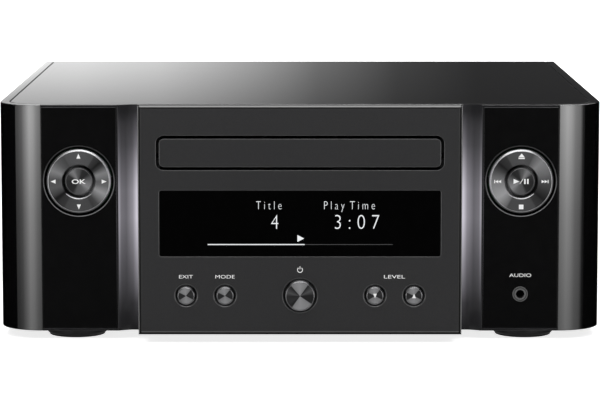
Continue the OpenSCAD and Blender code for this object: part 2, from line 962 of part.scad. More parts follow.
module headphone_jack() {
    y_bore = y_wing - jack_nut_t + jack_depth;
    color("silver") difference() {
        union() {
            bar_y(x_pad, z_jack, y_wing - jack_nut_t, y_wing, jack_nut_r);
            bar_y(x_pad, z_jack, y_wing - lap, y_frame1 + lap, jack_barrel_r);
            box_y(x_pad, z_jack, [jack_box, jack_box], y_frame1, y_bore + block_wall);
        }
        bar_y(x_pad, z_jack, y_wing - jack_nut_t - 1, y_bore, jack_d / 2);
    }
}

module control_boards() {
    color("darkgreen") {
        block(
            [-x_block_in + seam, y_board, z_case + block_wall + seam],
            [x_block_in - seam, y_board + board_t, loader_z0 - board_t]
        );
        for (s = [-1, 1]) box_y(s * x_pad, z_pad, [key_board_w, key_board_h], y_keys, y_keys + board_t);
    }
}

// A tact switch of height h in front of the board face y
module tact_switch(x, z, y, h) {
    box_y(x, z, [switch_size, switch_size], y - h + plunger_t, y);
    bar_y(x, z, y - h, y - h / 2, switch_size / 4);
}

module tact_switches() {
    color("black") {
        for (x = concat([0], small_button_x)) tact_switch(x, z_buttons, y_board, switch_h);
        for (s = [-1, 1], p = key_switch_r * [[0, 0], [1, 0], [-1, 0], [0, 1], [0, -1]])
            tact_switch(s * x_pad + p[0], z_pad + p[1], y_keys, key_switch_h);
    }
}

module display_module() {
    color("black") block(
        [-display_w / 2 + display_in, y_panel + panel_t + seam, z_display - display_h / 2],
        [display_w / 2 - display_in, y_board, z_display + display_h / 2]
    );
}

// Flat cable from the control board down to the floor and back to the main board
module ribbon_cable() {
    y0 = y_board + board_t;
    z_low = z_floor + ribbon_rise;
    z_plug = z_buttons - ribbon_drop;
    z_end = main_z + board_t + ribbon_t / 2;
    path = [
        [y0, z_plug], [y0 + ribbon_bend, z_plug], [y0 + 3 * ribbon_bend, z_low],
        [y_main0 - 3 * ribbon_bend, z_low], [y_main0 - ribbon_bend / 2, z_end], [y_main0 + ribbon_bend, z_end]
    ];
    last = len(path) - 1;
    color("gainsboro") along_x(-ribbon_w / 2, ribbon_w) polygon(concat(
        [for (p = path) p + [0, ribbon_t / 2]],
        [for (i = [0:last]) path[last - i] - [0, ribbon_t / 2]]
    ));
}

// Disc mechanism

module loader_frame() {
    open_x = trav_w / 2 + hinge_len + hinge_wall;
    groove_x = tray_w / 2 + tray_tongue + loader_gap;
    color("dimgray") difference() {
        union() {
            block([-x_loader, y_loader0, loader_z0], [x_loader, y_loader1, loader_z1]);
            for (s = [-1, 1]) side(s) {
                block([x_rail, y_loader0, loader_z0], [x_loader, y_loader1, z_rail_top]);
                for (y = [y_frame1 + leg_in, y_loader1 - leg_in])
                    bar_z(x_loader - leg_r, y, z_floor, loader_z0 + 1, leg_r);
            }
        }
        block([-open_x, y_trav0 - trav_room, loader_z0 - 1], [open_x, y_trav1 + trav_room, loader_z1 + 1]);
        for (s = [-1, 1]) side(s) block(
            [x_rail - 1, y_loader0 - 1, tongue_z - loader_gap],
            [groove_x, y_loader1 + 1, tongue_z + tongue_h + loader_gap]
        );
        bar_z(x_motor, y_motor, loader_z0 - 1, loader_z1 + 1, spindle_r + shaft_room);
    }
    color("dimgray") for (s = [-1, 1]) side(s) difference() {
        block(
            [trav_w / 2 + shaft_room, y_hinge - hinge_ear, loader_z0],
            [open_x + 1, y_hinge + hinge_ear, z_hinge + hinge_ear]
        );
        bar_x(y_hinge, z_hinge, 0, open_x + 2, hinge_r + post_gap);
    }
    color("dimgray") for (x = [x_gear, x_pulley])
        bar_z(x, y_gear, loader_z1 - 1, gear_z + gear_t, post_r);
}

module clamp_bridge() {
    color("silver") difference() {
        block(
            [-x_loader, y_disc - bridge_half, z_rail_top],
            [x_loader, y_disc + bridge_half, z_rail_top + bridge_t]
        );
        bar_z(0, y_disc, z_rail_top - 1, z_rail_top + bridge_t + 1, puck_r + puck_gap);
    }
}

module clamp_puck() {
    z0 = disc_z + disc_t;
    z1 = z_rail_top + bridge_t + puck_lift;
    z_roof = disc_z + hub_h + hub_room;
    hollow = hub_r + shaft_room;
    color("black") translate([0, y_disc, 0]) rotate_extrude() polygon([
        [hollow, z0], [puck_r, z0], [puck_r, z1], [puck_flange_r, z1], [puck_flange_r, z1 + puck_flange_t],
        [0, z1 + puck_flange_t], [0, z_roof], [hollow, z_roof]
    ]);
}

module disc_tray() {
    cut_r = tray_cut_w / 2;
    y_cut = y_disc + cut_r - tray_cut_front;
    color("dimgray") {
        difference() {
            union() {
                block([-tray_w / 2, y_tray0, tray_z0], [tray_w / 2, y_tray1, tray_z1]);
                block(
                    [-tray_w / 2 - tray_tongue, y_loader0 + 1, tongue_z],
                    [tray_w / 2 + tray_tongue, y_tray1, tongue_z + tongue_h]
                );
            }
            bar_z(0, y_disc, well_z, tray_z1 + 1, well_r);
            bar_z(0, y_cut, tray_z0 - 1, tray_z1 + 1, cut_r);
            block([-cut_r, y_cut, tray_z0 - 1], [cut_r, y_tray1 + 1, tray_z1 + 1]);
        }
        rise(gear_z, rack_h + lap) translate([rack_line, y_gear])
            rack_plan(-rack_end, tray_travel + rack_end, gear_module, rack_w);
    }
}

module tray_front() {
    color("dimgray") upright(y_panel, tray_front_t) translate([0, z_tray])
        rounded_rect([tray_front_w, tray_front_h], tray_front_r);
}

module loading_gear() {
    color("white") translate([x_gear, y_gear, 0]) difference() {
        union() {
            rise(gear_z, gear_t) rotate(180 / gear_teeth) gear_plan(gear_teeth, gear_module);
            bar_z(0, 0, loader_z1 + belt_gap, gear_z + lap, 2 * post_r);
        }
        bar_z(0, 0, loader_z1, gear_z + gear_t + 1, post_r + post_gap);
    }
}

module loading_pulley() {
    offset_angle = (180 / gear_teeth - 180) % (360 / gear_teeth);
    turn = 180 / pulley_teeth - offset_angle * gear_r / pulley_gear_r;
    color("white") translate([x_pulley, y_gear, 0]) difference() {
        union() {
            pulley_wheel(pulley_r, pulley_groove_r, pulley_z);
            rise(pulley_z + pulley_t - lap, gear_z + gear_t - pulley_z - pulley_t + lap)
                rotate(turn) gear_plan(pulley_teeth, gear_module);
        }
        bar_z(0, 0, pulley_z - 1, gear_z + gear_t + 1, post_r + post_gap);
    }
}

module loading_belt() {
    color("black") rise(pulley_z + (pulley_t - belt_h) / 2, belt_h) difference() {
        polygon(belt_loop(belt_gap + belt_t));
        polygon(belt_loop(belt_gap));
    }
}

module motor_pulley() {
    color("gold") translate([x_motor, y_motor, 0]) difference() {
        pulley_wheel(motor_pulley_r, motor_groove_r, pulley_z);
        bar_z(0, 0, pulley_z - 1, pulley_z + pulley_t + 1, spindle_r + post_gap);
    }
}

module loading_motor() {
    color("silver") {
        bar_z(x_motor, y_motor, loader_z0 - motor_h, loader_z0, motor_r);
        bar_z(x_motor, y_motor, loader_z0 - 1, pulley_z + pulley_t, spindle_r);
    }
}

module traverse_frame() {
    color("silver") difference() {
        union() {
            block([-trav_w / 2, y_trav0, trav_z0], [trav_w / 2, y_trav1, trav_z1]);
            bar_x(y_hinge, z_hinge, -trav_w / 2 - hinge_len, trav_w / 2 + hinge_len, hinge_r);
        }
        block([-trav_cut_w / 2, y_cut0, trav_z0 - 1], [trav_cut_w / 2, y_cut1, trav_z1 + 1]);
        bar_z(0, y_disc, trav_z0 - 1, trav_z1 + 1, spindle_r + shaft_room);
        bar_z(x_sled_gear, y_sled_gear, trav_z0 - 1, trav_z1 + 1, sled_shaft_r + shaft_room);
        for (x = [-rod_x, rod_x])
            bar_y(x, z_hinge, y_cut0 - rod_seat, y_cut1 + rod_seat, rod_r + rod_gap);
    }
}

module spindle_motor() {
    color("gray") {
        bar_z(0, y_disc, trav_z0 - spindle_motor_h, trav_z0, spindle_motor_r);
        bar_z(0, y_disc, trav_z0 - 1, disc_z + hub_h - 0.5, spindle_r);
    }
}

module turntable() {
    r = turntable_d / 2;
    bore = spindle_r + post_gap;
    color("black") translate([0, y_disc, 0]) rotate_extrude() polygon([
        [bore, trav_z1 + table_gap], [table_boss_r, trav_z1 + table_gap], [table_boss_r, disc_z - table_t],
        [r, disc_z - table_t], [r, disc_z],
        [hub_r, disc_z], [hub_r, disc_z + hub_h / 2],
        [hub_r - hub_h / 2, disc_z + hub_h], [bore, disc_z + hub_h]
    ]);
}

module guide_rods() {
    color("silver") for (x = [-rod_x, rod_x])
        bar_y(x, z_hinge, y_cut0 - rod_seat, y_cut1 + rod_seat, rod_r);
}

module pickup_sled() {
    sled_z1 = sled_z0 + sled_t;
    color("dimgray") difference() {
        union() {
            block([-sled_w / 2, y_sled - sled_front, sled_z0], [sled_w / 2, y_sled + sled_back, sled_z1]);
            bar_z(0, y_sled, sled_z1 - 1, lens_z, lens_holder_r);
            rise(sled_gear_z, sled_gear_t) translate([sled_rack_x, y_sled_gear])
                mirror([1, 0]) rack_plan(-sled_rack_half, sled_rack_half, sled_module, sled_rack_w);
        }
        for (x = [-rod_x, rod_x])
            bar_y(x, z_hinge, y_sled - sled_front - 1, y_sled + sled_back + 1, rod_r + post_gap);
        bar_z(0, y_sled, lens_z - lens_seat, lens_z + 1, lens_r + lens_gap);
    }
}

module pickup_lens() {
    color("lightblue") translate([0, y_sled, 0]) intersection() {
        bar_z(0, 0, lens_z - lens_seat, lens_z + 2, lens_r);
        translate([0, 0, lens_z + lens_bulge - lens_curve]) sphere(lens_curve);
    }
}

module sled_gear() {
    color("white") rise(sled_gear_z, sled_gear_t) translate([x_sled_gear, y_sled_gear]) difference() {
        rotate(180 + 180 / sled_teeth) gear_plan(sled_teeth, sled_module);
        circle(sled_shaft_r + post_gap);
    }
}

module sled_motor() {
    color("silver") {
        bar_z(x_sled_gear, y_sled_gear, trav_z0 - sled_motor_h, trav_z0, sled_motor_r);
        bar_z(x_sled_gear, y_sled_gear, trav_z0 - 1, sled_gear_z + sled_gear_t, sled_shaft_r);
    }
}

// Electronics

module main_board() {
    color("darkgreen") {
        block([x_main0, y_main0, main_z], [x_main0 + main_w, y_main1, main_z + board_t]);
        for (c = chips) translate([x_main0 + c[0], y_main0 + c[1], main_z + board_t / 2])
            cube([c[2], c[3], c[4]]);
    }
}

module capacitors() {
    z = main_z + board_t;
    color("navy") for (c = cans) bar_z(x_main0 + c[0], y_main0 + c[1], z, z + c[3], c[2]);
}

module transformer() {
    x = x_main0 - trafo_gap - trafo_w;
    y = y_main1 - trafo_d - coil_out;
    color("sienna") {
        block([x, y, z_floor], [x + trafo_w, y + trafo_d, z_floor + trafo_h]);
        block(
            [x + coil_in, y - coil_out, z_floor + coil_in],
            [x + trafo_w - coil_in, y + trafo_d + coil_out, z_floor + trafo_h - coil_in]
        );
    }
}

module heat_sink() {
    x = x_main0 + main_w + trafo_gap;
    y = y_main1 - sink_d;
    fin_step = (sink_w - sink_fin) / (sink_fins - 1);
    color("silver") {
        block([x, y, z_floor], [x + sink_w, y + sink_d, z_floor + sink_base]);
        for (i = [0:sink_fins - 1]) translate([x + i * fin_step, y, z_floor + sink_base - 1])
            cube([sink_fin, sink_d, sink_h]);
    }
}

// Rear

// A socket's body through the rear panel, with its flange of thickness seat outside
module flush_socket(x, z, size, seat, depth) {
    box_y(x, z, size, y_back - depth, y_back + seat / 2);
    box_y(x, z, size + 2 * [socket_flange, socket_flange], y_back, y_back + seat);
}

module speaker_terminals() {
    color("black") {
        flush_socket(
            x_terminals, z_terminals, [terminal_body_w, terminal_body_h], terminal_seat, terminal_depth
        );
        for (i = [0:3])
            bar_y(terminal_x(i), z_terminals, y_back, y_back + terminal_len - stud_short, stud_r);
    }
}

// Turning cap number i, with grip flutes round its rim
module terminal_cap(i) {
    r = terminal_d / 2;
    y0 = y_back + terminal_seat + cap_gap;
    y1 = y_back + terminal_len;
    difference() {
        bar_y(terminal_x(i), z_terminals, y0, y1, r);
        bar_y(terminal_x(i), z_terminals, y0 - 1, y1 + 1, stud_r + stud_gap);
        translate([terminal_x(i), y0, z_terminals]) for (k = [0:cap_flutes - 1])
            rotate([0, 360 * k / cap_flutes, 0]) block(
                [r - flute_depth, flute_end, -flute_w / 2],
                [r + 1, y1 - y0 - flute_end, flute_w / 2]
            );
    }
}

module terminal_cap_1() {
    color("firebrick") terminal_cap(0);
}

module terminal_cap_2() {
    color("black") terminal_cap(1);
}

module terminal_cap_3() {
    color("firebrick") terminal_cap(2);
}

module terminal_cap_4() {
    color("black") terminal_cap(3);
}

module rear_sockets() {
    y_sleeve = y_back + socket_seat + seam;
    y_phono = y_back + socket_seat + phono_len;
    color("black")
        flush_socket(x_sockets, z_sockets, [socket_body_w, socket_body_h], socket_seat, socket_depth);
    color("silver") {
        for (p = phono_places) difference() {
            bar_y(p[0], p[1], y_sleeve, y_phono, phono_r);
            bar_y(p[0], p[1], y_sleeve - 1, y_phono + 1, phono_bore_r);
        }
        bar_y(x_antenna, z_sockets, y_back - socket_depth, y_phono, antenna_body_r);
        bar_y(x_antenna, z_sockets, y_back, y_back + socket_seat, antenna_body_r + socket_flange);
    }
    color("black") for (x = optical_x)
        flush_socket(x, z_sockets, [optical_w, optical_w], socket_seat, socket_depth);
}

module mains_inlet() {
    color("black") {
        difference() {
            flush_socket(x_inlet, z_inlet, [inlet_w, inlet_h], socket_seat, inlet_depth + inlet_floor);
            upright(y_back - inlet_depth, inlet_depth + socket_seat + 1) translate([x_inlet, z_inlet])
                rounded_rect([inlet_cavity_w, inlet_cavity_h], inlet_cavity_r);
        }
        for (x = [x_inlet - inlet_pin_x, x_inlet + inlet_pin_x])
            bar_y(x, z_inlet, y_back - inlet_depth - 1, y_back - 1, inlet_pin_r);
    }
}

base_chassis();
rear_panel();
top_cover();
left_side_panel();
right_side_panel();
front_frame();
centre_panel();
left_window();
right_window();
light_guides();
pad_trim_rings();
display_window();
feet();
foot_pads();
case_screws();
back_button();
input_button();
power_button();
volume_down_button();
volume_up_button();
menu_gimbal();
menu_ring();
enter_button();
transport_gimbal();
transport_ring();
play_button();
headphone_jack();
control_boards();
tact_switches();
display_module();
ribbon_cable();
loader_frame();
clamp_bridge();
clamp_puck();
disc_tray();
tray_front();
loading_gear();
loading_pulley();
loading_belt();
motor_pulley();
loading_motor();
traverse_frame();
spindle_motor();
turntable();
guide_rods();
pickup_sled();
pickup_lens();
sled_gear();
sled_motor();
main_board();
capacitors();
transformer();
heat_sink();
speaker_terminals();
terminal_cap_1();
terminal_cap_2();
terminal_cap_3();
terminal_cap_4();
rear_sockets();
mains_inlet();
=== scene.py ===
"""Finishes, lettering, display and studio of a compact disc receiver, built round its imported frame.

Metres. X points right, Y points back and Z points up, as in the frame.
"""

import json
import math

import bmesh
import bpy
from bpy.props import FloatProperty, FloatVectorProperty, PointerProperty
from mathutils import Matrix, Vector


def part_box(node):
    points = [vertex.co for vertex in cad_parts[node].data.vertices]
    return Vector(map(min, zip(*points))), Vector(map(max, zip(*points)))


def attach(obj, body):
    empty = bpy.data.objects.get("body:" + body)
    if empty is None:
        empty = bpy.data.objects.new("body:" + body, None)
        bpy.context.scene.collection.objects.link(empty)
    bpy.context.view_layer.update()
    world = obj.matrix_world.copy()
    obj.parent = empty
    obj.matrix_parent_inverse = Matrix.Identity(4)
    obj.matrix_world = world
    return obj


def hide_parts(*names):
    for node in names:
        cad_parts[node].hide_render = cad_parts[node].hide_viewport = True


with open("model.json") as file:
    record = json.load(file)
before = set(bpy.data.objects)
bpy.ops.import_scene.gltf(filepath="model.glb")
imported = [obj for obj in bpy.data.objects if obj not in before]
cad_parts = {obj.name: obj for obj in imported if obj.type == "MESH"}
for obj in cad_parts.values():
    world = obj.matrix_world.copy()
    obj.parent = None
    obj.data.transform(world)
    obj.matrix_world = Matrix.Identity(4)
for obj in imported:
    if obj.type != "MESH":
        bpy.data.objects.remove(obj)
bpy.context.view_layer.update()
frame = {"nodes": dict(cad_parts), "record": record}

bl_info = {
    "name": "Disc receiver",
    "version": (1, 0, 0),
    "blender": (4, 5, 0),
    "location": "3D View > Sidebar > Receiver",
    "description": "Builds the looks of a compact disc receiver round its frame",
    "category": "Object",
}

BODY_OF = {node: body for body, nodes in frame["record"]["behaviour"]["bodies"].items() for node in nodes}
PHONO_MOUNTS = [m for m in frame["record"]["mounts"] if m["name"].startswith("phono_socket")]
TURNED_MAP = "turned"
CARD_MAP = "along"
FINISHES = {}

# Most of a noise lies between these values
NOISE_LOW, NOISE_HIGH = 0.3, 0.7

# Points nearer than this to each other become one
WELD = 1e-6

# How far behind its front the edges of a turned or flat front piece are broken
FRONT_DEPTH = 0.002

# A face is square to an axis where its normal has at least this share along it
SQUARE = 0.98


def colour_property(name, description, default):
    """A colour that a user may change."""
    return FloatVectorProperty(
        name=name, description=description, default=default, subtype="COLOR", size=3, min=0.0, max=1.0
    )


def length_property(name, description, default):
    """A length that a user may change."""
    return FloatProperty(name=name, description=description, default=default, unit="LENGTH", precision=5)


def power_property(name, description, default):
    """A lamp's power that a user may change."""
    return FloatProperty(name=name, description=description, default=default, unit="POWER")


class ReceiverColours(bpy.types.PropertyGroup):
    """Colours of the receiver's finishes."""

    panel: colour_property(
        "Centre panel", "Blasted and anodised metal of panel and tray front", (0.0206, 0.0206, 0.0215)
    )
    # partly painted highlight: the lighter metal of the broken edges also stands in for the light they catch
    panel_edge: colour_property(
        "Panel edge", "Lighter metal on the broken edges of the panel", (0.072, 0.072, 0.073)
    )
    gloss: colour_property("Gloss black", "Side panels", (0.002, 0.002, 0.0021))
    window: colour_property(
        "Windows", "Gloss black plates of the wings and the display", (0.0042, 0.0042, 0.0043)
    )
    cover: colour_property("Top cover", "Satin paint of cover, chassis and rear panel", (0.026, 0.026, 0.027))
    moulding: colour_property("Moulding", "Black moulded plastic", (0.014, 0.014, 0.015))
    turned: colour_property("Turned metal", "Buttons and rings with a spun face", (0.25, 0.25, 0.256))
    trim: colour_property("Trim", "Bright rings round pads and jack", (0.080, 0.080, 0.082))
    ink: colour_property("Print", "White print on panel and keys", (0.80, 0.80, 0.80))
    display: colour_property("Display", "Lit marks on the display", (0.86, 0.88, 0.90))
    # painted light: colour of the painted glow in the coves
    glow: colour_property("Glow", "Light in the scooped coves", (0.93, 0.89, 1.0))
    red: colour_property("Red plastic", "Red terminal caps and socket inserts", (0.36, 0.015, 0.012))
    steel: colour_property("Steel", "Bright steel of screws and rods", (0.50, 0.50, 0.51))


class ReceiverSizes(bpy.types.PropertyGroup):
    """Small sizes that only the looks have."""

    edge: length_property("Edge", "Rounding of plain edges", 0.00022)
    panel_edge: length_property("Panel edge", "Broken edges of panel and tray front", 0.00034)
    rim: length_property("Rim", "Polished edges of buttons and rings", 0.0002)
    ink: length_property("Ink", "How far print stands on its surface", 0.00003)
    label: length_property("Label height", "Height of the capitals of a label", 0.00168)
    label_gap: length_property("Label gap", "Button's centre to its label", 0.0088)
    key_mark: length_property("Key mark", "Size of the marks on the rings", 0.0025)
    caption: length_property("Caption height", "Height of the capitals on the display", 0.0041)
    digit: length_property("Digit height", "Height of the digits on the display", 0.0071)


class ReceiverStudio(bpy.types.PropertyGroup):
    """Camera and light."""

    distance: length_property("Distance", "Camera in front of the wings", 1.3424)
    height: length_property("Height", "Camera above the floor", 0.2304)
    tilt: FloatProperty(
        name="Tilt", description="Camera down from level", default=math.radians(6.994), subtype="ANGLE"
    )
    lens: FloatProperty(name="Lens", description="Focal length in mm on a 36 mm sensor", default=175.5)
    overhead: power_property("Overhead", "Power of the softbox overhead", 12.0)
    front: power_property("Front", "Power of the softbox over the camera", 30.0)
    rear: power_property("Rear", "Power of the softbox behind the receiver", 40.0)
    cards: FloatProperty(name="Cards", description="Strength of the reflectors at the sides", default=4.7)
    ambient: FloatProperty(name="Ambient", description="Even light from all round", default=0.25)


def colours():
    """The colours in use."""
    return bpy.context.scene.receiver_colours


def sizes():
    """The small sizes in use."""
    return bpy.context.scene.receiver_sizes


def scaled(colour, factor):
    """A colour made lighter or darker, with its alpha."""
    return tuple(min(1.0, part * factor) for part in colour[:3]) + (1.0,)


def grey(value):
    """A grey as a colour with its alpha."""
    return (value, value, value, 1.0)


def middle(node):
    """Middle of a CAD node's box."""
    low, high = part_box(node)
    return (low + high) / 2


# Materials


def add_node(tree, kind, inputs=None, **settings):
    """A node of a tree, with its settings, values and links."""
    node = tree.nodes.new(kind)
    for name, value in settings.items():
        setattr(node, name, value)
    for name, value in (inputs or {}).items():
        if isinstance(value, bpy.types.NodeSocket):
            tree.links.new(value, node.inputs[name])
        else:
            node.inputs[name].default_value = value
    return node


def ramp(tree, factor, stops):
    """Colour output of a ramp over a factor: stops hold a place and a colour."""
    node = add_node(tree, "ShaderNodeValToRGB", {"Fac": factor})
    elements = node.color_ramp.elements
    while len(elements) < len(stops):
        elements.new(0.5)
    for element, (place, colour) in zip(elements, stops):
        element.position = place
        element.color = colour
    return node.outputs["Color"]


def grey_ramp(tree, factor, stops):
    """A ramp of greys: stops hold a place and a brightness."""
    return ramp(tree, factor, [(place, grey(value)) for place, value in stops])


def mapped(tree, value, start, end, low=0.0, high=1.0):
    """A value mapped from the range of start to end to that of low to high."""
    values = {"Value": value, "From Min": start, "From Max": end, "To Min": low, "To Max": high}
    return add_node(tree, "ShaderNodeMapRange", values).outputs["Result"]


def spread(tree, factor, low, high):
    """A noise mapped to the range from low to high."""
    return mapped(tree, factor, NOISE_LOW, NOISE_HIGH, low, high)


def mottled(tree, factor, dark, light):
    """A colour that follows a noise from dark to light."""
    return ramp(tree, factor, [(NOISE_LOW, dark), (NOISE_HIGH, light)])


def calculated(tree, operation, first, second):
    """Result of an operation on two values, each a number or an output."""
    return add_node(tree, "ShaderNodeMath", {0: first, 1: second}, operation=operation).outputs[0]


def distance(tree, vector):
    """Length of a vector."""
    return add_node(tree, "ShaderNodeVectorMath", {0: vector}, operation="LENGTH").outputs["Value"]


def split(tree, vector):
    """Outputs X, Y and Z of a vector."""
    return add_node(tree, "ShaderNodeSeparateXYZ", {"Vector": vector}).outputs


def object_place(tree):
    """Where a point is in its object."""
    return add_node(tree, "ShaderNodeTexCoord").outputs["Object"]


def map_place(tree, name):
    """Where a point is on the flat map of that name."""
    return add_node(tree, "ShaderNodeUVMap", uv_map=name).outputs["UV"]


def noise(tree, place, size, detail=2.0):
    """Noise with lumps of a given size."""
    values = {"Vector": place, "Scale": 1.0 / size, "Detail": detail}
    return add_node(tree, "ShaderNodeTexNoise", values).outputs["Fac"]


def blank(name, sockets):
    """A new material with its tree and shader; sockets hold constants of the shader."""
    material = bpy.data.materials.new(name)
    material.use_nodes = True
    tree = material.node_tree
    shader = tree.nodes["Principled BSDF"]
    for socket, value in sockets.items():
        shader.inputs[socket].default_value = value
    return material, tree, shader


def surface(name, colour, roughness, grain, relief, uneven, sockets, wander=0.06):
    """A finish with fine grain in colour and relief, and slow changes in its gloss."""
    material, tree, shader = blank(name, sockets or {})
    place = object_place(tree)
    fine = noise(tree, place, grain)
    cloud = 0.03
    slow = noise(tree, place, cloud, detail=4.0)
    shade = mottled(tree, fine, scaled(colour, 1 - uneven), scaled(colour, 1 + uneven))
    tree.links.new(shade, shader.inputs["Base Color"])
    gloss = spread(tree, slow, roughness * (1 - wander), roughness * (1 + wander))
    tree.links.new(gloss, shader.inputs["Roughness"])
    if relief > 0:
        bump = add_node(tree, "ShaderNodeBump", {"Height": fine, "Strength": relief, "Distance": grain / 2})
        tree.links.new(bump.outputs["Normal"], shader.inputs["Normal"])
    return material


# Painted highlights and painted shade of turned faces: brightness at angles in degrees, from the right by the
# top
BOW_TIE = (
    (-150, 0.09), (-144, 0.72), (-90, 1.0), (-32, 0.76), (-25, 0.07), (14, 0.12),
    (49, 0.07), (56, 0.78), (97, 1.1), (149, 0.8), (157, 0.08),
)
POWER_BOW_TIE = (
    (-148, 0.12), (-127, 0.06), (-123, 0.9), (-90, 1.15), (-37, 0.9), (-33, 0.07), (4, 0.06), (27, 0.32),
    (53, 0.06), (57, 0.85), (90, 1.15), (128, 0.85), (132, 0.06), (164, 0.30), (180, 0.08),
)
QUARTERS = (
    (-144, 1.3), (-121, 0.55), (-118, 0.26), (-90, 0.29), (-62, 0.26), (-59, 0.15), (-44, 0.10), (-40, 0.04),
    (-28, 0.10), (0, 0.24), (45, 0.85), (63, 0.45), (66, 0.30), (90, 0.33), (119, 0.29), (122, 0.15),
    (137, 0.10), (141, 0.04), (152, 0.18), (170, 0.5),
)
MENU_QUARTERS = (
    (-165, 0.36), (-150, 0.20), (-143, 0.03), (-139, 0.05), (-135, 0.11), (-121, 0.15), (-118, 0.24),
    (-90, 0.27), (-64, 0.25), (-60, 0.17), (-50, 0.24), (-26, 1.15), (-10, 0.5), (0, 0.38), (19, 0.85),
    (33, 0.18), (42, 0.04), (47, 0.11), (57, 0.16), (60, 0.30), (90, 0.36), (118, 0.31), (122, 0.24),
    (137, 0.36), (157, 0.80), (175, 0.28),
)
STREAKS = (
    (-145, 0.9), (-122, 0.5), (-100, 0.38), (-76, 0.34), (-60, 0.1), (0, 0.06), (30, 0.12), (45, 0.6),
    (60, 0.8), (80, 0.38), (95, 0.30), (110, 0.1), (140, 0.08), (165, 0.35),
)


def mirrored(lights):
    """Painted highlights and shade of a turned face that is the mirror image of another."""
    return tuple((180 - angle, light) for angle, light in lights)


TURNED_PAINTED_LIGHTS = {
    "button_metal": BOW_TIE,
    "power_metal": POWER_BOW_TIE,
    "transport_ring_metal": QUARTERS,
    "play_metal": STREAKS,
    "menu_ring_metal": MENU_QUARTERS,
    "enter_metal": mirrored(STREAKS),
}


def round_stops(lights):
    """Stops of a ramp that runs once round the axis, from the left and back to it without a step."""
    stops = sorted(((angle / 360 + 0.5) % 1.0, light) for angle, light in lights)
    (first, first_light), (last, last_light) = stops[0], stops[-1]
    seam = last_light + (first_light - last_light) * (1 - last) / (first + 1 - last)
    return [(0.0, seam)] + stops + [(1.0, seam)]


def painted_turned_metal(name, lights):
    """Spun metal: wedges of painted highlight and painted shade round the axis, in place of the light its
    turning catches, and fine rings.
    """
    roughness = 0.32
    ring_pitch = 0.00032
    wave_radians = 20  # Turn of the wave node over one metre at a scale of 1
    material, tree, shader = blank(name, {"Metallic": 0.3, "Anisotropic": 0.6, "Specular IOR Level": 0.12})
    flat = map_place(tree, TURNED_MAP)
    around = add_node(tree, "ShaderNodeTexGradient", {"Vector": flat}, gradient_type="RADIAL").outputs["Fac"]
    colour = colours().turned
    # painted highlights and shade: the base colour gets lighter and darker in wedges round the axis
    stops = [(place, scaled(colour, light)) for place, light in round_stops(lights)]
    tree.links.new(ramp(tree, around, stops), shader.inputs["Base Color"])
    wave = add_node(
        tree,
        "ShaderNodeTexWave",
        {"Vector": flat, "Scale": math.tau / wave_radians / ring_pitch, "Distortion": 0.4},
        wave_type="RINGS",
        rings_direction="Z",
    ).outputs["Fac"]
    tree.links.new(spread(tree, wave, roughness * 0.9, roughness * 1.1), shader.inputs["Roughness"])
    bump = add_node(tree, "ShaderNodeBump", {"Height": wave, "Strength": 0.06, "Distance": ring_pitch})
    tree.links.new(bump.outputs["Normal"], shader.inputs["Normal"])
    parts = split(tree, flat)
    outward = add_node(tree, "ShaderNodeCombineXYZ", {"X": parts["X"], "Z": parts["Y"]}).outputs["Vector"]
    turned = add_node(
        tree, "ShaderNodeVectorTransform", {"Vector": outward}, vector_type="VECTOR", convert_from="OBJECT"
    )
    tree.links.new(turned.outputs["Vector"], shader.inputs["Tangent"])
    return material


def jack_metal():
    """Dark bush of the jack: rings of grey, lighter at its rims as painted highlights, and black outside."""
    sockets = {"Metallic": 0.2, "Roughness": 0.35, "Specular IOR Level": 0.2}
    material, tree, shader = blank("jack_metal", sockets)
    reach = 0.0045
    part = calculated(tree, "DIVIDE", distance(tree, map_place(tree, TURNED_MAP)), reach)
    # painted highlights: the rims of the bush take lighter greys
    rings = [
        (0.43, 0.004), (0.46, 0.14), (0.57, 0.10), (0.63, 0.03),
        (0.68, 0.03), (0.71, 0.11), (0.78, 0.10), (0.80, 0.003),
    ]
    tree.links.new(grey_ramp(tree, part, rings), shader.inputs["Base Color"])
    return material


def trim_line():
    """Thin bright line round a pad, painted brighter at its foot than at its top: painted highlight and
    painted shade in place of the light it catches.
    """
    sockets = {"Metallic": 0.3, "Roughness": 0.3, "Specular IOR Level": 0.2}
    material, tree, shader = blank("trim_line", sockets)
    low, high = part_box("pad_trim_rings")
    up = mapped(tree, split(tree, object_place(tree))["Z"], low.z, high.z)
    trim = colours().trim
    # painted light and shade: brighter towards the foot of the ring, darker towards its top
    lights = [(0.0, 2.6), (0.4, 1.6), (0.75, 0.55), (1.0, 0.5)]
    shade = ramp(tree, up, [(place, scaled(trim, light)) for place, light in lights])
    tree.links.new(shade, shader.inputs["Base Color"])
    return material


# Painted highlights and painted shade on the panel's chamfers: grey by depth in mm behind its face
PAINTED_PANEL_EDGES = {
    "panel_top_edge": (
        (0.0, 0.010), (0.04, 0.004), (0.09, 0.006), (0.20, 0.06), (0.40, 0.12), (0.75, 0.18), (0.95, 0.08),
        (1.1, 0.004), (1.25, 0.004), (1.45, 0.06),
    ),
    "panel_side_edge": (
        (0.0, 0.032), (0.14, 0.032), (0.22, 0.016), (0.55, 0.016), (0.75, 0.034), (0.90, 0.045), (1.0, 0.36),
        (1.6, 0.42),
    ),
    "panel_foot_edge": ((0.0, 0.13), (0.14, 0.13), (0.24, 0.003)),
}


def painted_panel_edge_metal(name, greys):
    """Broken edge of the panel: metal with bands of painted highlight where it catches light, and painted
    shade in between.
    """
    material, tree, shader = blank(name, {"Metallic": 0.5, "Roughness": 0.3, "Specular IOR Level": 0.05})
    reach = 0.002
    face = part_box("centre_panel")[0].y
    depth = mapped(tree, split(tree, object_place(tree))["Y"], face, face + reach)
    stops = [(deep / 1000 / reach, value) for deep, value in greys]
    tree.links.new(grey_ramp(tree, depth, stops), shader.inputs["Base Color"])
    return material


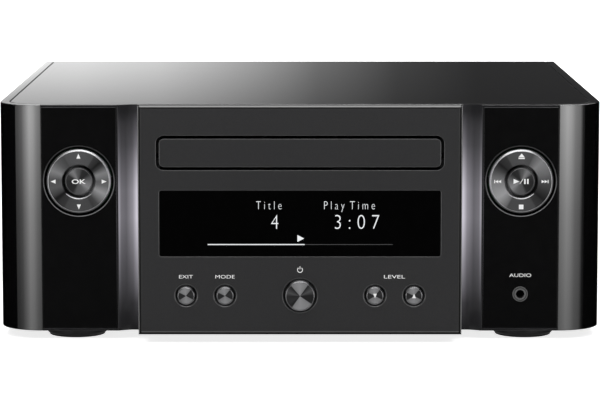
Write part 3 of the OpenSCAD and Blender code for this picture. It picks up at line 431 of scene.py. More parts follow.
def cove_plastic():
    """Black moulding with a painted glow in its scooped coves, most at mid height and beside the panel:
    emission in place of the light that the guides behind the panel throw there.
    """
    material, tree, shader = blank("cove_plastic", {"Roughness": 0.30, "Specular IOR Level": 0.2})
    behind_panel = 0.001
    past_lip = 0.0002
    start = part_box("centre_panel")[1].x - behind_panel
    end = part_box("right_window")[0].x + past_lip
    low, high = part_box("front_frame")
    place = object_place(tree)
    grain = 0.0003
    moulding = colours().moulding
    shade = mottled(tree, noise(tree, place, grain), scaled(moulding, 0.85), scaled(moulding, 1.15))
    tree.links.new(shade, shader.inputs["Base Color"])
    parts = split(tree, place)
    out = add_node(tree, "ShaderNodeMath", {0: parts["X"]}, operation="ABSOLUTE").outputs[0]
    # painted light: strength of the painted glow across the cove and up it
    glow_across = [
        (0.0, 0.60), (0.18, 0.68), (0.34, 0.30), (0.60, 0.12), (0.80, 0.16), (0.96, 0.50), (1.0, 0.1),
    ]
    across = grey_ramp(tree, mapped(tree, out, start, end), glow_across)
    glow_up = [(0.0, 0.0), (0.12, 0.06), (0.30, 0.45), (0.50, 1.0), (0.62, 0.95), (0.82, 0.26), (0.97, 0.02)]
    up = grey_ramp(tree, mapped(tree, parts["Z"], low.z, high.z), glow_up)
    tree.links.new(calculated(tree, "MULTIPLY", across, up), shader.inputs["Emission Strength"])
    shader.inputs["Emission Color"].default_value = scaled(colours().glow, 1.0)
    return material


def lit(name, colour, strength):
    """A lit mark, a little uneven as the light behind it is."""
    material, tree, shader = blank(name, {"Emission Strength": strength, "Roughness": 0.5})
    cloud = 0.004
    slow = noise(tree, object_place(tree), cloud)
    shade = mottled(tree, slow, scaled(colour, 0.94), scaled(colour, 1.0))
    tree.links.new(shade, shader.inputs["Emission Color"])
    shader.inputs["Base Color"].default_value = scaled(colour, 0.01)
    return material


def plain_finishes():
    """Recipes of the plain finishes: colour, roughness, grain, relief, unevenness and sockets.

    A seventh value is how far the gloss wanders.
    """
    own = colours()
    matte = {"Specular IOR Level": 0.3}
    metal = {"Metallic": 1.0}
    return {
        "panel_metal": (own.panel, 0.50, 0.0004, 0.10, 0.16, {"Specular IOR Level": 0.2}),
        # partly painted highlight: lighter metal on the broken edges, also standing in for the light they
        # catch
        "panel_edge": (own.panel_edge, 0.30, 0.0004, 0.04, 0.12, {"Metallic": 0.5}),
        "gloss_black": (own.gloss, 0.035, 0.004, 0.0, 0.10, {"Specular IOR Level": 1.0}),
        # painted highlight: lighter than the cover, for the faces of the side panels that look up
        "gloss_rim": (scaled(own.cover, 1.4), 0.05, 0.004, 0.0, 0.10, {"IOR": 2.2}, 0.01),
        "window_black": (own.window, 0.03, 0.004, 0.0, 0.10, {"Specular IOR Level": 0.12}),
        "cover_paint": (own.cover, 0.075, 0.0005, 0.0, 0.10, {"Specular IOR Level": 0.5}, 0.01),
        "sheet_paint": (own.cover, 0.42, 0.0005, 0.10, 0.18, matte),
        "moulding": (own.moulding, 0.45, 0.0004, 0.10, 0.20, matte),
        # partly painted highlight: a little lighter than the moulding, with a higher gloss, along the lips'
        # broken edges
        "lip_edge": (scaled(own.moulding, 1.2), 0.22, 0.0004, 0.0, 0.10, {"Specular IOR Level": 0.12}),
        # painted highlight: much lighter than the moulding, along the ends of the windows
        "window_edge": (scaled(own.moulding, 4.0), 0.15, 0.0004, 0.0, 0.10, None),
        "tray_moulding": (scaled(own.moulding, 1.6), 0.42, 0.0005, 0.10, 0.18, matte),
        "rubber": ((0.012, 0.012, 0.012), 0.75, 0.0006, 0.25, 0.25, matte),
        # painted shade: near-black finish for faces that stand in shade
        "shade_black": ((0.0015, 0.0015, 0.0015), 0.80, 0.0006, 0.10, 0.20, {"Specular IOR Level": 0.05}),
        "display_black": (scaled(own.window, 0.3), 0.03, 0.004, 0.0, 0.10, {"Specular IOR Level": 0.06}),
        "trim_metal": (own.trim, 0.30, 0.0005, 0.02, 0.10, {"Metallic": 0.3}),
        "rim_metal": ((0.50, 0.50, 0.51), 0.42, 0.0005, 0.02, 0.08, metal),
        # dim metal of the buttons' rims, and also the painted shade on the downward faces of the rings' outer
        # rims
        "dim_rim_metal": ((0.20, 0.20, 0.205), 0.30, 0.0005, 0.02, 0.08, metal),
        "steel": (own.steel, 0.28, 0.0005, 0.04, 0.12, metal),
        "nickel": ((0.55, 0.53, 0.49), 0.25, 0.0006, 0.03, 0.10, metal),
        "aluminium": ((0.58, 0.58, 0.60), 0.38, 0.0005, 0.08, 0.12, metal),
        "brass": ((0.56, 0.40, 0.16), 0.30, 0.0005, 0.04, 0.12, metal),
        "gear_plastic": ((0.70, 0.69, 0.64), 0.45, 0.0008, 0.05, 0.06, None),
        "white_plastic": ((0.70, 0.70, 0.68), 0.40, 0.0008, 0.05, 0.06, None),
        "red_plastic": (own.red, 0.38, 0.0008, 0.06, 0.14, None),
        "light_guide": ((0.75, 0.75, 0.78), 0.25, 0.002, 0.0, 0.05, {"Emission Strength": 0.25}),
        "board": ((0.020, 0.085, 0.035), 0.38, 0.0012, 0.10, 0.35, None),
        "lens_glass": ((0.20, 0.26, 0.34), 0.06, 0.004, 0.0, 0.10, {"Coat Weight": 1.0}),
        "can_sleeve": ((0.010, 0.014, 0.05), 0.25, 0.002, 0.02, 0.20, None),
        "lamination": ((0.10, 0.10, 0.105), 0.45, 0.0005, 0.20, 0.30, {"Metallic": 0.6}),
        "winding": ((0.22, 0.085, 0.03), 0.40, 0.0006, 0.30, 0.35, None),
        "flat_cable": ((0.55, 0.55, 0.53), 0.45, 0.0007, 0.10, 0.12, None),
        "ink": (own.ink, 0.50, 0.0006, 0.0, 0.04, matte),
    }


def finish(name):
    """The finish of that name, made when it is first asked for."""
    if name not in FINISHES:
        FINISHES[name] = make_finish(name)
        FINISHES[name].name = name + "_finish"
    return FINISHES[name]


SPECIAL_FINISHES = {"cove_plastic": cove_plastic, "jack_metal": jack_metal, "trim_line": trim_line}
DISPLAY_STRENGTHS = {"display_light": 1.0, "display_dim": 0.03}


def make_finish(name):
    """A new finish of that name."""
    if name in SPECIAL_FINISHES:
        return SPECIAL_FINISHES[name]()
    if name in DISPLAY_STRENGTHS:
        return lit(name, colours().display, DISPLAY_STRENGTHS[name])
    if name in PAINTED_PANEL_EDGES:
        return painted_panel_edge_metal(name, PAINTED_PANEL_EDGES[name])
    if name in TURNED_PAINTED_LIGHTS:
        return painted_turned_metal(name, TURNED_PAINTED_LIGHTS[name])
    return surface(name, *plain_finishes()[name])


# Pieces


def placed(name, data):
    """A new object in the scene."""
    item = bpy.data.objects.new(name, data)
    bpy.context.scene.collection.objects.link(item)
    return item


def evaluated_mesh(item):
    """A plain mesh of an object as its modifiers leave it."""
    bpy.context.view_layer.update()
    return bpy.data.meshes.new_from_object(item.evaluated_get(bpy.context.evaluated_depsgraph_get()))


def new_piece(name, mesh, body):
    """A finished piece that rides on a body."""
    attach(placed(name, mesh), body)


def stand_in(piece, node):
    """Lets a piece stand for a CAD node, on its body, and hides the node."""
    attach(piece, BODY_OF[node])
    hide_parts(node)


def shade_by_angle(mesh, degrees=22):
    """Smooth shading, broken where faces meet at more than an angle."""
    mesh.polygons.foreach_set("use_smooth", [True] * len(mesh.polygons))
    mesh.set_sharp_from_angle(angle=math.radians(degrees))


def even_shading(piece):
    """Normals weighted by face, so that large flats stay flat beside their broken edges."""
    modifier = piece.modifiers.new("even_shading", "WEIGHTED_NORMAL")
    modifier.keep_sharp = True
    modifier.weight = 50
    rough = piece.data
    piece.data = evaluated_mesh(piece)
    piece.data.name = piece.name
    piece.modifiers.remove(modifier)
    bpy.data.meshes.remove(rough)


def merged_copy(node):
    """A CAD node's mesh with its triangles joined, flat ones into larger faces."""
    flat_angle = math.radians(0.3)
    shape = bmesh.new()
    shape.from_mesh(frame["nodes"][node].data)
    bmesh.ops.remove_doubles(shape, verts=shape.verts, dist=WELD)
    bmesh.ops.dissolve_limit(
        shape,
        angle_limit=flat_angle,
        use_dissolve_boundaries=False,
        verts=shape.verts,
        edges=shape.edges,
    )
    return shape


def dressed(node, material, edge=None, edge_material=None, zones=(), depth=None):
    """A copy of a CAD node with broken edges and a finish, which stands for the node.

    zones hold a test on a face's middle and normal, and the finish of the faces that pass it.
    With a depth, only the edges that near to the node's front are broken, and by the whole width.
    """
    shape = merged_copy(node)
    width = sizes().edge if edge is None else edge
    sharp_angle = math.radians(28)
    sharp = [e for e in shape.edges if e.is_manifold and e.calc_face_angle() > sharp_angle]
    if depth is not None:
        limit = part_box(node)[0].y + depth
        sharp = [e for e in sharp if max(v.co.y for v in e.verts) < limit]
    bmesh.ops.bevel(
        shape,
        geom=sharp,
        offset=width,
        offset_type="OFFSET",
        affect="EDGES",
        segments=2,
        profile=0.5,
        clamp_overlap=depth is None,
        material=1 if edge_material else -1,
    )
    names = [material] + ([edge_material] if edge_material else [])
    for test, zone_material in zones:
        for face in shape.faces:
            if test(face.calc_center_median(), face.normal):
                face.material_index = len(names)
        names.append(zone_material)
    mesh = bpy.data.meshes.new(node + "_finish")
    shape.to_mesh(mesh)
    shape.free()
    normals = mesh.attributes.get("custom_normal")
    if normals is not None:
        mesh.attributes.remove(normals)
    for name in names:
        mesh.materials.append(finish(name))
    shade_by_angle(mesh, degrees=40)
    piece = placed(node + "_finish", mesh)
    even_shading(piece)
    stand_in(piece, node)
    return piece


def turned_piece(node, material, edge_material="rim_metal", zones=()):
    """A dressed copy of a turned node with a rim, and a map of places round its axis."""
    mesh = dressed(node, material, sizes().rim, edge_material, zones, FRONT_DEPTH).data
    axis = middle(node)
    layer = mesh.uv_layers.new(name=TURNED_MAP)
    for loop in mesh.loops:
        place = mesh.vertices[loop.vertex_index].co
        layer.data[loop.index].uv = (place.x - axis.x, place.z - axis.z)


def coat_node(node, material):
    """Finish of a CAD node that shows as it is."""
    mesh = frame["nodes"][node].data
    mesh.materials.clear()
    mesh.materials.append(finish(material))


def from_shape(name, shape, material):
    """A plain mesh from a bmesh, with outward normals."""
    bmesh.ops.recalc_face_normals(shape, faces=shape.faces)
    mesh = bpy.data.meshes.new(name)
    shape.to_mesh(mesh)
    shape.free()
    mesh.materials.append(material)
    return mesh


def lathe(profile):
    """A bmesh turned round the Y axis from points of radius and y; a radius of 0 closes an end."""
    steps = 32
    shape = bmesh.new()
    verts = [shape.verts.new((r, y, 0.0)) for r, y in profile]
    edges = [shape.edges.new(pair) for pair in zip(verts, verts[1:])]
    bmesh.ops.spin(
        shape, geom=verts + edges, cent=(0, 0, 0), axis=(0, 1, 0), angle=math.tau, steps=steps, use_merge=True
    )
    bmesh.ops.remove_doubles(shape, verts=shape.verts, dist=WELD)
    return shape


# Print


def outline_shape(outlines, face_y):
    """Flat closed shapes of points in X and Z, standing a little out of a face that looks to -Y."""
    depth = sizes().ink
    shape = bmesh.new()
    for outline in outlines:
        front = [shape.verts.new((x, face_y - depth, z)) for x, z in outline]
        back = [shape.verts.new((x, face_y + depth, z)) for x, z in outline]
        shape.faces.new(front)
        shape.faces.new(back[::-1])
        for i in range(len(outline)):
            j = (i + 1) % len(outline)
            shape.faces.new((front[j], front[i], back[i], back[j]))
    return shape


def moved(outline, x, z):
    """An outline moved to a place."""
    return [(px + x, pz + z) for px, pz in outline]


def bar(width, height, x, z):
    """Outline of a rectangle about a place."""
    w, h = width / 2, height / 2
    return moved([(-w, -h), (w, -h), (w, h), (-w, h)], x, z)


def arrow(width, length, turn, x, z):
    """Outline of a triangle that points up, turned in degrees to the left."""
    c, s = math.cos(math.radians(turn)), math.sin(math.radians(turn))
    corners = [(-width / 2, -length / 2), (width / 2, -length / 2), (0.0, length / 2)]
    return moved([(c * px - s * pz, s * px + c * pz) for px, pz in corners], x, z)


def arc(radius, line, start, end, x, z):
    """Outline of a bent line of a given width, between two angles in degrees."""
    steps = 24
    turns = [math.radians(start + (end - start) * i / steps) for i in range(steps + 1)]
    outer, inner = (
        [(reach * math.cos(turn), reach * math.sin(turn)) for turn in turns]
        for reach in (radius + line / 2, radius - line / 2)
    )
    return moved(outer + inner[::-1], x, z)


def marks(name, outlines, face_y, body, material="ink"):
    """Printed marks on a body."""
    mesh = from_shape(name, outline_shape(outlines, face_y), finish(material))
    new_piece(name, mesh, body)


def word_mesh(text, height, stretch, weight):
    """Mesh of a word about its middle, in X and Z, looking to -Y; height is that of its capitals."""
    capital = 0.729
    thickness = 0.01
    curve = bpy.data.curves.new("word", "FONT")
    curve.body = text
    curve.size = 1.0
    curve.extrude = thickness
    curve.offset = weight
    curve.resolution_u = 4
    lump = placed("word", curve)
    mesh = evaluated_mesh(lump)
    bpy.data.objects.remove(lump)
    bpy.data.curves.remove(curve)
    scale = height / capital
    places = [v.co.x for v in mesh.vertices]
    centre = (max(places) + min(places)) / 2
    mesh.transform(Matrix.Translation((-centre, -capital / 2, 0.0)))
    mesh.transform(Matrix.Diagonal((scale * stretch, scale, sizes().ink / thickness, 1.0)))
    mesh.transform(Matrix.Rotation(math.pi / 2, 4, "X"))
    return mesh


def words(name, lines, face_y, body, material="ink", turn=0.0):
    """Several words as one piece: each line holds text, height, stretch, weight, x and z.

    The words look to -Y, or from there by a turn about Z.
    """
    weld = 1e-7
    shape = bmesh.new()
    for text, height, stretch, weight, x, z in lines:
        mesh = word_mesh(text, height, stretch, weight)
        mesh.transform(Matrix.Translation((x, face_y, z)) @ Matrix.Rotation(turn, 4, "Z"))
        shape.from_mesh(mesh)
        bpy.data.meshes.remove(mesh)
    bmesh.ops.remove_doubles(shape, verts=shape.verts, dist=weld)
    new_piece(name, from_shape(name, shape, finish(material)), body)


# What repeats


def stamp_tree():
    """Geometry nodes: a stamp on each point of a mesh, made real, with a material."""
    tree = bpy.data.node_groups.new("stamps_on_points", "GeometryNodeTree")
    face = tree.interface
    face.new_socket("Geometry", in_out="INPUT", socket_type="NodeSocketGeometry")
    face.new_socket("Stamp", in_out="INPUT", socket_type="NodeSocketObject")
    face.new_socket("Size", in_out="INPUT", socket_type="NodeSocketFloat").default_value = 1.0
    face.new_socket("Material", in_out="INPUT", socket_type="NodeSocketMaterial")
    face.new_socket("Geometry", in_out="OUTPUT", socket_type="NodeSocketGeometry")
    entry = add_node(tree, "NodeGroupInput").outputs
    stamp = add_node(tree, "GeometryNodeObjectInfo", {"Object": entry["Stamp"]}).outputs["Geometry"]
    placed = add_node(
        tree,
        "GeometryNodeInstanceOnPoints",
        {"Points": entry["Geometry"], "Instance": stamp, "Scale": entry["Size"]},
    ).outputs["Instances"]
    real = add_node(tree, "GeometryNodeRealizeInstances", {"Geometry": placed}).outputs["Geometry"]
    coated = add_node(
        tree, "GeometryNodeSetMaterial", {"Geometry": real, "Material": entry["Material"]}
    ).outputs["Geometry"]
    add_node(tree, "NodeGroupOutput", {"Geometry": coated})
    return tree


def stamped(name, shape, places, material):
    """Plain mesh of one shape at several places."""
    tree = bpy.data.node_groups.get("stamps_on_points") or stamp_tree()
    stamp = bpy.data.objects.new("stamp", from_shape("stamp", shape, finish(material)))
    points = bpy.data.meshes.new("points")
    points.from_pydata(places, [], [])
    carrier = placed("carrier", points)
    modifier = carrier.modifiers.new("stamps", "NODES")
    modifier.node_group = tree
    values = {"Stamp": stamp, "Size": 1.0, "Material": finish(material)}
    for item in tree.interface.items_tree:
        if item.in_out == "INPUT" and item.name in values:
            modifier[item.identifier] = values[item.name]
    mesh = evaluated_mesh(carrier)
    mesh.name = name
    carrier.modifiers.remove(modifier)
    bpy.data.objects.remove(carrier)
    bpy.data.objects.remove(stamp)
    shade_by_angle(mesh)
    return mesh


# Operators


class RECEIVER_OT_case(bpy.types.Operator):
    """Case: chassis, rear panel, cover, side panels, feet and screws"""

    bl_idname = "receiver.case"
    bl_label = "Case"

    def execute(self, context):
        # painted shade: the cover's broken edges take the dark matte rubber finish, drawn as dark lines along
        # the gaps round it
        dressed("top_cover", "cover_paint", edge_material="rubber")
        dressed("base_chassis", "sheet_paint")
        dressed("rear_panel", "sheet_paint")
        level = 0.9
        # painted highlight: faces of the side panels that look up take the lighter gloss_rim finish
        upward = [(lambda place, normal: normal.z > level, "gloss_rim")]
        dressed("left_side_panel", "gloss_black", zones=upward)
        dressed("right_side_panel", "gloss_black", zones=upward)
        foot_edge = 0.0004
        dressed("feet", "moulding", foot_edge)
        dressed("foot_pads", "rubber")
        self.screws()
        return {"FINISHED"}

    def screws(self):
        """Raised heads with a cross recess, on the CAD's four screws."""
        low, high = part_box("case_screws")
        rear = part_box("rear_panel")[1].y
        head = high.y - rear
        radius = 0.0028
        profile = [
            (0.0, high.y),
            (radius * 0.45, high.y),
            (radius * 0.85, high.y - head * 0.25),
            (radius, high.y - head * 0.6),
            (radius, rear),
            (radius / 2, rear),
            (radius / 2, low.y),
            (0.0, low.y),
        ]
        shape = lathe(profile)
        crown = high.y - head * 0.3
        cross_half = radius * 0.12
        cross_depth = head * 0.35
        for vert in shape.verts:
            if vert.co.y > crown and min(abs(vert.co.x), abs(vert.co.z)) < cross_half:
                vert.co.y -= cross_depth
        columns = (low.x + radius, high.x - radius)
        rows = (low.z + radius, high.z - radius)
        places = [(x, 0.0, z) for x in columns for z in rows]
        mesh = stamped("case_screws_finish", shape, places, "steel")
        stand_in(placed("case_screws_finish", mesh), "case_screws")


class RECEIVER_OT_front(bpy.types.Operator):
    """Front: centre panel, tray front and display window"""

    bl_idname = "receiver.front"
    bl_label = "Centre panel"

    def execute(self, context):
        edge = sizes().panel_edge
        low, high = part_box("centre_panel")
        border = 0.0018
        forward = -0.99
        lean = 0.15
        # painted highlights and shade: the side, top and foot chamfers each take their own bands of grey
        edges = [
            (lambda place, normal: normal.y > forward and abs(place.x) > high.x - border, "panel_side_edge"),
            (lambda place, normal: normal.z > lean and place.z > high.z - border, "panel_top_edge"),
            (lambda place, normal: normal.z < -lean and place.z < low.z + border, "panel_foot_edge"),
        ]
        dressed("centre_panel", "panel_metal", edge, "panel_edge", edges, FRONT_DEPTH)
        # partly painted highlight: the broken edges of the tray front take the lighter panel_edge finish
        dressed("tray_front", "panel_metal", edge, "panel_edge", depth=FRONT_DEPTH)
        glass_depth = 0.001
        dressed("display_window", "display_black", depth=glass_depth)
        return {"FINISHED"}


class RECEIVER_OT_wings(bpy.types.Operator):
    """Wings: front frame with the painted glow in its coves, windows, light guides, trim rings and headphone
    jack
    """

    bl_idname = "receiver.wings"
    bl_label = "Wings"

    def execute(self, context):
        self.front_frame()
        self.windows()
        ring_edge = 0.00004
        # painted shade: faces of the trim rings that don't look forward take the near-black shade finish
        walls_in_painted_shade = [(lambda place, normal: normal.y > -SQUARE, "shade_black")]
        dressed("pad_trim_rings", "trim_line", ring_edge, zones=walls_in_painted_shade)
        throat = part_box("headphone_jack")[0].y + 0.0006
        inside = [(lambda place, normal: place.y > throat, "rubber")]
        turned_piece("headphone_jack", "jack_metal", "jack_metal", inside)
        coat_node("light_guides", "light_guide")
        return {"FINISHED"}

    def front_frame(self):
        """Frame with a painted glow in its coves, black lips beside the windows and a painted top."""
        lip_edge = 0.0003
        past_wing = 0.001
        low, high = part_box("front_frame")
        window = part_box("right_window")[0]
        inner = window.x - lip_edge
        top = high.z - 0.0001
        lips = [
            (lambda place, normal: normal.y < -SQUARE and abs(place.x) > inner, "window_black"),
            (lambda place, normal: normal.z > SQUARE and place.z > top, "cover_paint"),
        ]
        dressed("front_frame", "cove_plastic", lip_edge, "lip_edge", lips, window.y - low.y + past_wing)

    def windows(self):
        """Windows with a painted highlight: a lighter line along their upper and lower ends."""
        near = 0.0004
        lean = 0.2
        low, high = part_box("right_window")

        def at_end(place, normal):
            """Whether a face is part of the broken edge of an end."""
            leaning = abs(normal.z) > lean and normal.y < -lean
            return leaning and not low.z + near < place.z < high.z - near

        for name in ("left_window", "right_window"):
            dressed(name, "window_black", zones=[(at_end, "window_edge")])


class RECEIVER_OT_buttons(bpy.types.Operator):
    """Buttons of the centre panel"""

    bl_idname = "receiver.buttons"
    bl_label = "Buttons"

    def execute(self, context):
        for name in ("back", "input", "power", "volume_down", "volume_up"):
            # the turned finishes carry painted highlights and shade in wedges round each button
            material = "power_metal" if name == "power" else "button_metal"
            turned_piece(name + "_button", material, "dim_rim_metal")
        return {"FINISHED"}


class RECEIVER_OT_pads(bpy.types.Operator):
    """Four-way pads: rings, middle buttons and gimbals"""

    bl_idname = "receiver.pads"
    bl_label = "Four-way pads"

    def execute(self, context):
        self.pad("menu_ring", "menu_ring_metal", "enter_button", "enter_metal")
        self.pad("transport_ring", "transport_ring_metal", "play_button", "play_metal")
        coat_node("menu_gimbal", "moulding")
        coat_node("transport_gimbal", "moulding")
        return {"FINISHED"}

    def pad(self, ring, ring_metal, knob, knob_metal):
        """A ring with its polished rim, painted brighter on the lower arc of its hole and darker where its
        outer rim looks down, and the button in its hole.
        """
        downward = -0.3
        low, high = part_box(ring)
        axis = middle(ring)
        between = (high.x - low.x) / 2 * 0.75
        rim_low = axis.z - between * 0.51

        def inner_rim(place, normal):
            """Whether a face belongs to the edge of the ring's hole."""
            return normal.y > -SQUARE and math.hypot(place.x - axis.x, place.z - axis.z) <= between

        def outer_rim(place, normal):
            """Whether a face belongs to the ring's outer edge."""
            return normal.y > -SQUARE and math.hypot(place.x - axis.x, place.z - axis.z) > between

        # painted highlight and painted shade: the lower arc of the hole's edge takes the bright rim metal,
        # the outer rim's downward faces the dim one
        zones = [
            (inner_rim, ring_metal),
            (lambda place, normal: inner_rim(place, normal) and place.z < rim_low, "rim_metal"),
            (outer_rim, "rim_metal"),
            (lambda place, normal: outer_rim(place, normal) and normal.z < downward, "dim_rim_metal"),
        ]
        turned_piece(ring, ring_metal, zones=zones)
        turned_piece(knob, knob_metal, "trim_metal")


class RECEIVER_OT_print(bpy.types.Operator):
    """Print: labels of the panel and marks on the keys"""

    bl_idname = "receiver.print"
    bl_label = "Print"

    def execute(self, context):
        self.panel_labels()
        self.ring_marks()
        self.button_marks()
        return {"FINISHED"}

    def panel_labels(self):
        """Words over the buttons and the jack, and the sign over the power button."""
        own = sizes()
        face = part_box("centre_panel")[0].y
        stretch = 1.40
        weight = 0.0
        back, source = middle("back_button"), middle("input_button")
        down, up = middle("volume_down_button"), middle("volume_up_button")
        row = back.z + own.label_gap
        lines = [
            ("EXIT", own.label, stretch, weight, back.x, row),
            ("MODE", own.label, stretch, weight, source.x, row),
            ("LEVEL", own.label, stretch * 1.2, weight, (down.x + up.x) / 2, row),
        ]
        words("panel_labels", lines, face, "chassis")
        power = middle("power_button")
        sign_z = power.z + 0.0119
        sign_radius = 0.00115
        stroke = 0.0013
        line = 0.00034
        outlines = [
            arc(sign_radius, line, 125, 415, power.x, sign_z),
            bar(line, stroke, power.x, sign_z + 0.0010),
        ]
        marks("power_sign", outlines, face, "chassis")
        jack = middle("headphone_jack")
        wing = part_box("right_window")[0].y
        lines = [("AUDIO", own.label, stretch, weight, jack.x, jack.z + own.label_gap)]
        words("jack_label", lines, wing, "chassis")

    def ring_marks(self):
        """Arrows on the left ring, and eject, stop and skip signs on the right one."""
        size = sizes().key_mark
        radius = 0.0118
        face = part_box("menu_ring")[0].y
        at = middle("menu_ring")
        outlines = []
        for turn in (0, 90, 180, 270):
            x = at.x - radius * math.sin(math.radians(turn))
            z = at.z + radius * math.cos(math.radians(turn))
            outlines.append(arrow(size * 0.76, size * 0.92, turn, x, z))
        marks("menu_arrows", outlines, face, "menu_ring")
        at = middle("transport_ring")
        skip = size * 0.55
        outlines = [
            arrow(size * 1.15, size * 0.72, 0, at.x, at.z + radius + size * 0.14),
            bar(size * 1.15, size * 0.22, at.x, at.z + radius - size * 0.42),
            bar(size * 0.85, size * 0.85, at.x, at.z - radius),
        ]
        for side, turn in ((-1, 90), (1, 270)):
            x = at.x + side * radius * 0.965
            outlines += [
                arrow(size * 0.62, skip, turn, x - side * skip, at.z),
                arrow(size * 0.62, skip, turn, x, at.z),
                bar(size * 0.16, size * 0.62, x + side * skip * 0.68, at.z),
            ]
        marks("transport_signs", outlines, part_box("transport_ring")[0].y, "transport_ring")

    def button_marks(self):
        """Play and pause signs, the word on the other middle button, and the volume arrows."""
        size = sizes().key_mark
        at = middle("play_button")
        tall = size * 0.95
        lean = size * 0.30
        thick = size * 0.06
        slash = [
            (-lean - thick, -tall / 2),
            (-lean + thick, -tall / 2),
            (lean + thick, tall / 2),
            (lean - thick, tall / 2),
        ]
        outlines = [
            arrow(tall, size * 1.08, 270, at.x - size * 0.90, at.z),
            moved(slash, at.x + size * 0.04, at.z),
            bar(size * 0.30, tall, at.x + size * 0.66, at.z),
            bar(size * 0.30, tall, at.x + size * 1.20, at.z),
        ]
        marks("play_signs", outlines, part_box("play_button")[0].y, "play_button")
        at = middle("enter_button")
        tall = 0.0021
        lines = [("OK", tall, 1.5, 0.02, at.x, at.z)]
        words("enter_word", lines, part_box("enter_button")[0].y, "enter_button")
        arrow_width, arrow_length = 0.0017, 0.0021
        for name, turn in (("volume_down_button", 180), ("volume_up_button", 0)):
            at = middle(name)
            outlines = [arrow(arrow_width, arrow_length, turn, at.x, at.z)]
            marks(name.replace("button", "mark"), outlines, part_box(name)[0].y, name)


class RECEIVER_OT_display(bpy.types.Operator):
    """Lit captions, digits and progress line of the display"""

    bl_idname = "receiver.display"
    bl_label = "Display"

    def execute(self, context):
        own = sizes()
        low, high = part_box("display_window")
        face = low.y
        width = high.x - low.x
        centre_z = (low.z + high.z) / 2
        caption_z = centre_z + 0.0086
        digit_z = centre_z + 0.0010
        line_z = centre_z - 0.0097
        thin = -0.018
        narrow = 0.72
        lines = [
            ("T i t l e", own.caption, narrow, thin, -0.0143, caption_z),
            ("P l a y  T i m e", own.caption, narrow, thin, 0.0227, caption_z),
            ("4", own.digit, 0.80, thin, -0.0116, digit_z),
            ("3 : 0 7", own.digit, 0.86, thin, 0.0262, digit_z),
        ]
        words("display_words", lines, face, "chassis", "display_light")
        start, now, end = -0.3285 * width, 0.0167 * width, 0.330 * width
        line = 0.00046
        outlines = [
            bar(now - start, line, (start + now) / 2, line_z),
            arrow(0.0032, 0.0031, 270, now - 0.0018, line_z + 0.0028),
        ]
        marks("display_progress", outlines, face, "chassis", "display_light")
        rest = [bar(end - now, line * 0.7, (now + end) / 2, line_z)]
        marks("display_rest_line", rest, face, "chassis", "display_dim")
        return {"FINISHED"}


class RECEIVER_OT_mechanism(bpy.types.Operator):
    """Disc tray and the mechanism behind it"""

    bl_idname = "receiver.mechanism"
    bl_label = "Disc mechanism"

    def execute(self, context):
        lean = 0.2
        tray_edge = 0.00015
        # painted shade: faces of the tray that look forward take the near-black shade finish, so the slot
        # looks dark
        forward = [(lambda place, normal: normal.y < -lean, "shade_black")]
        dressed("disc_tray", "tray_moulding", tray_edge, zones=forward)
        for node, material in (
            ("loader_frame", "moulding"),
            ("clamp_bridge", "steel"),
            ("clamp_puck", "moulding"),
            ("loading_gear", "moulding"),
            ("loading_pulley", "moulding"),
            ("loading_belt", "rubber"),
            ("motor_pulley", "brass"),
            ("loading_motor", "steel"),
            ("traverse_frame", "aluminium"),
            ("spindle_motor", "steel"),
            ("turntable", "moulding"),
            ("guide_rods", "steel"),
            ("pickup_sled", "moulding"),
            ("pickup_lens", "lens_glass"),
            ("sled_gear", "gear_plastic"),
            ("sled_motor", "steel"),
        ):
            coat_node(node, material)
        return {"FINISHED"}


class RECEIVER_OT_electronics(bpy.types.Operator):
    """Boards and electrical pieces inside"""

    bl_idname = "receiver.electronics"
    bl_label = "Electronics"

    def execute(self, context):
        for node, material in (
            ("control_boards", "board"),
            ("tact_switches", "moulding"),
            ("display_module", "moulding"),
            ("ribbon_cable", "flat_cable"),
            ("heat_sink", "aluminium"),
        ):
            coat_node(node, material)
        board_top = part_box("main_board")[0].z + 0.0022
        chips = [(lambda place, normal: place.z > board_top, "moulding")]
        dressed("main_board", "board", zones=chips)
        upward = 0.5
        lids = [(lambda place, normal: normal.z > upward, "aluminium")]
        dressed("capacitors", "can_sleeve", zones=lids)
        low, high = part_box("transformer")
        core = (high.y - low.y) * 0.3
        coil = [(lambda place, normal: abs(place.y - (low.y + high.y) / 2) > core, "winding")]
        dressed("transformer", "lamination", zones=coil)
        return {"FINISHED"}


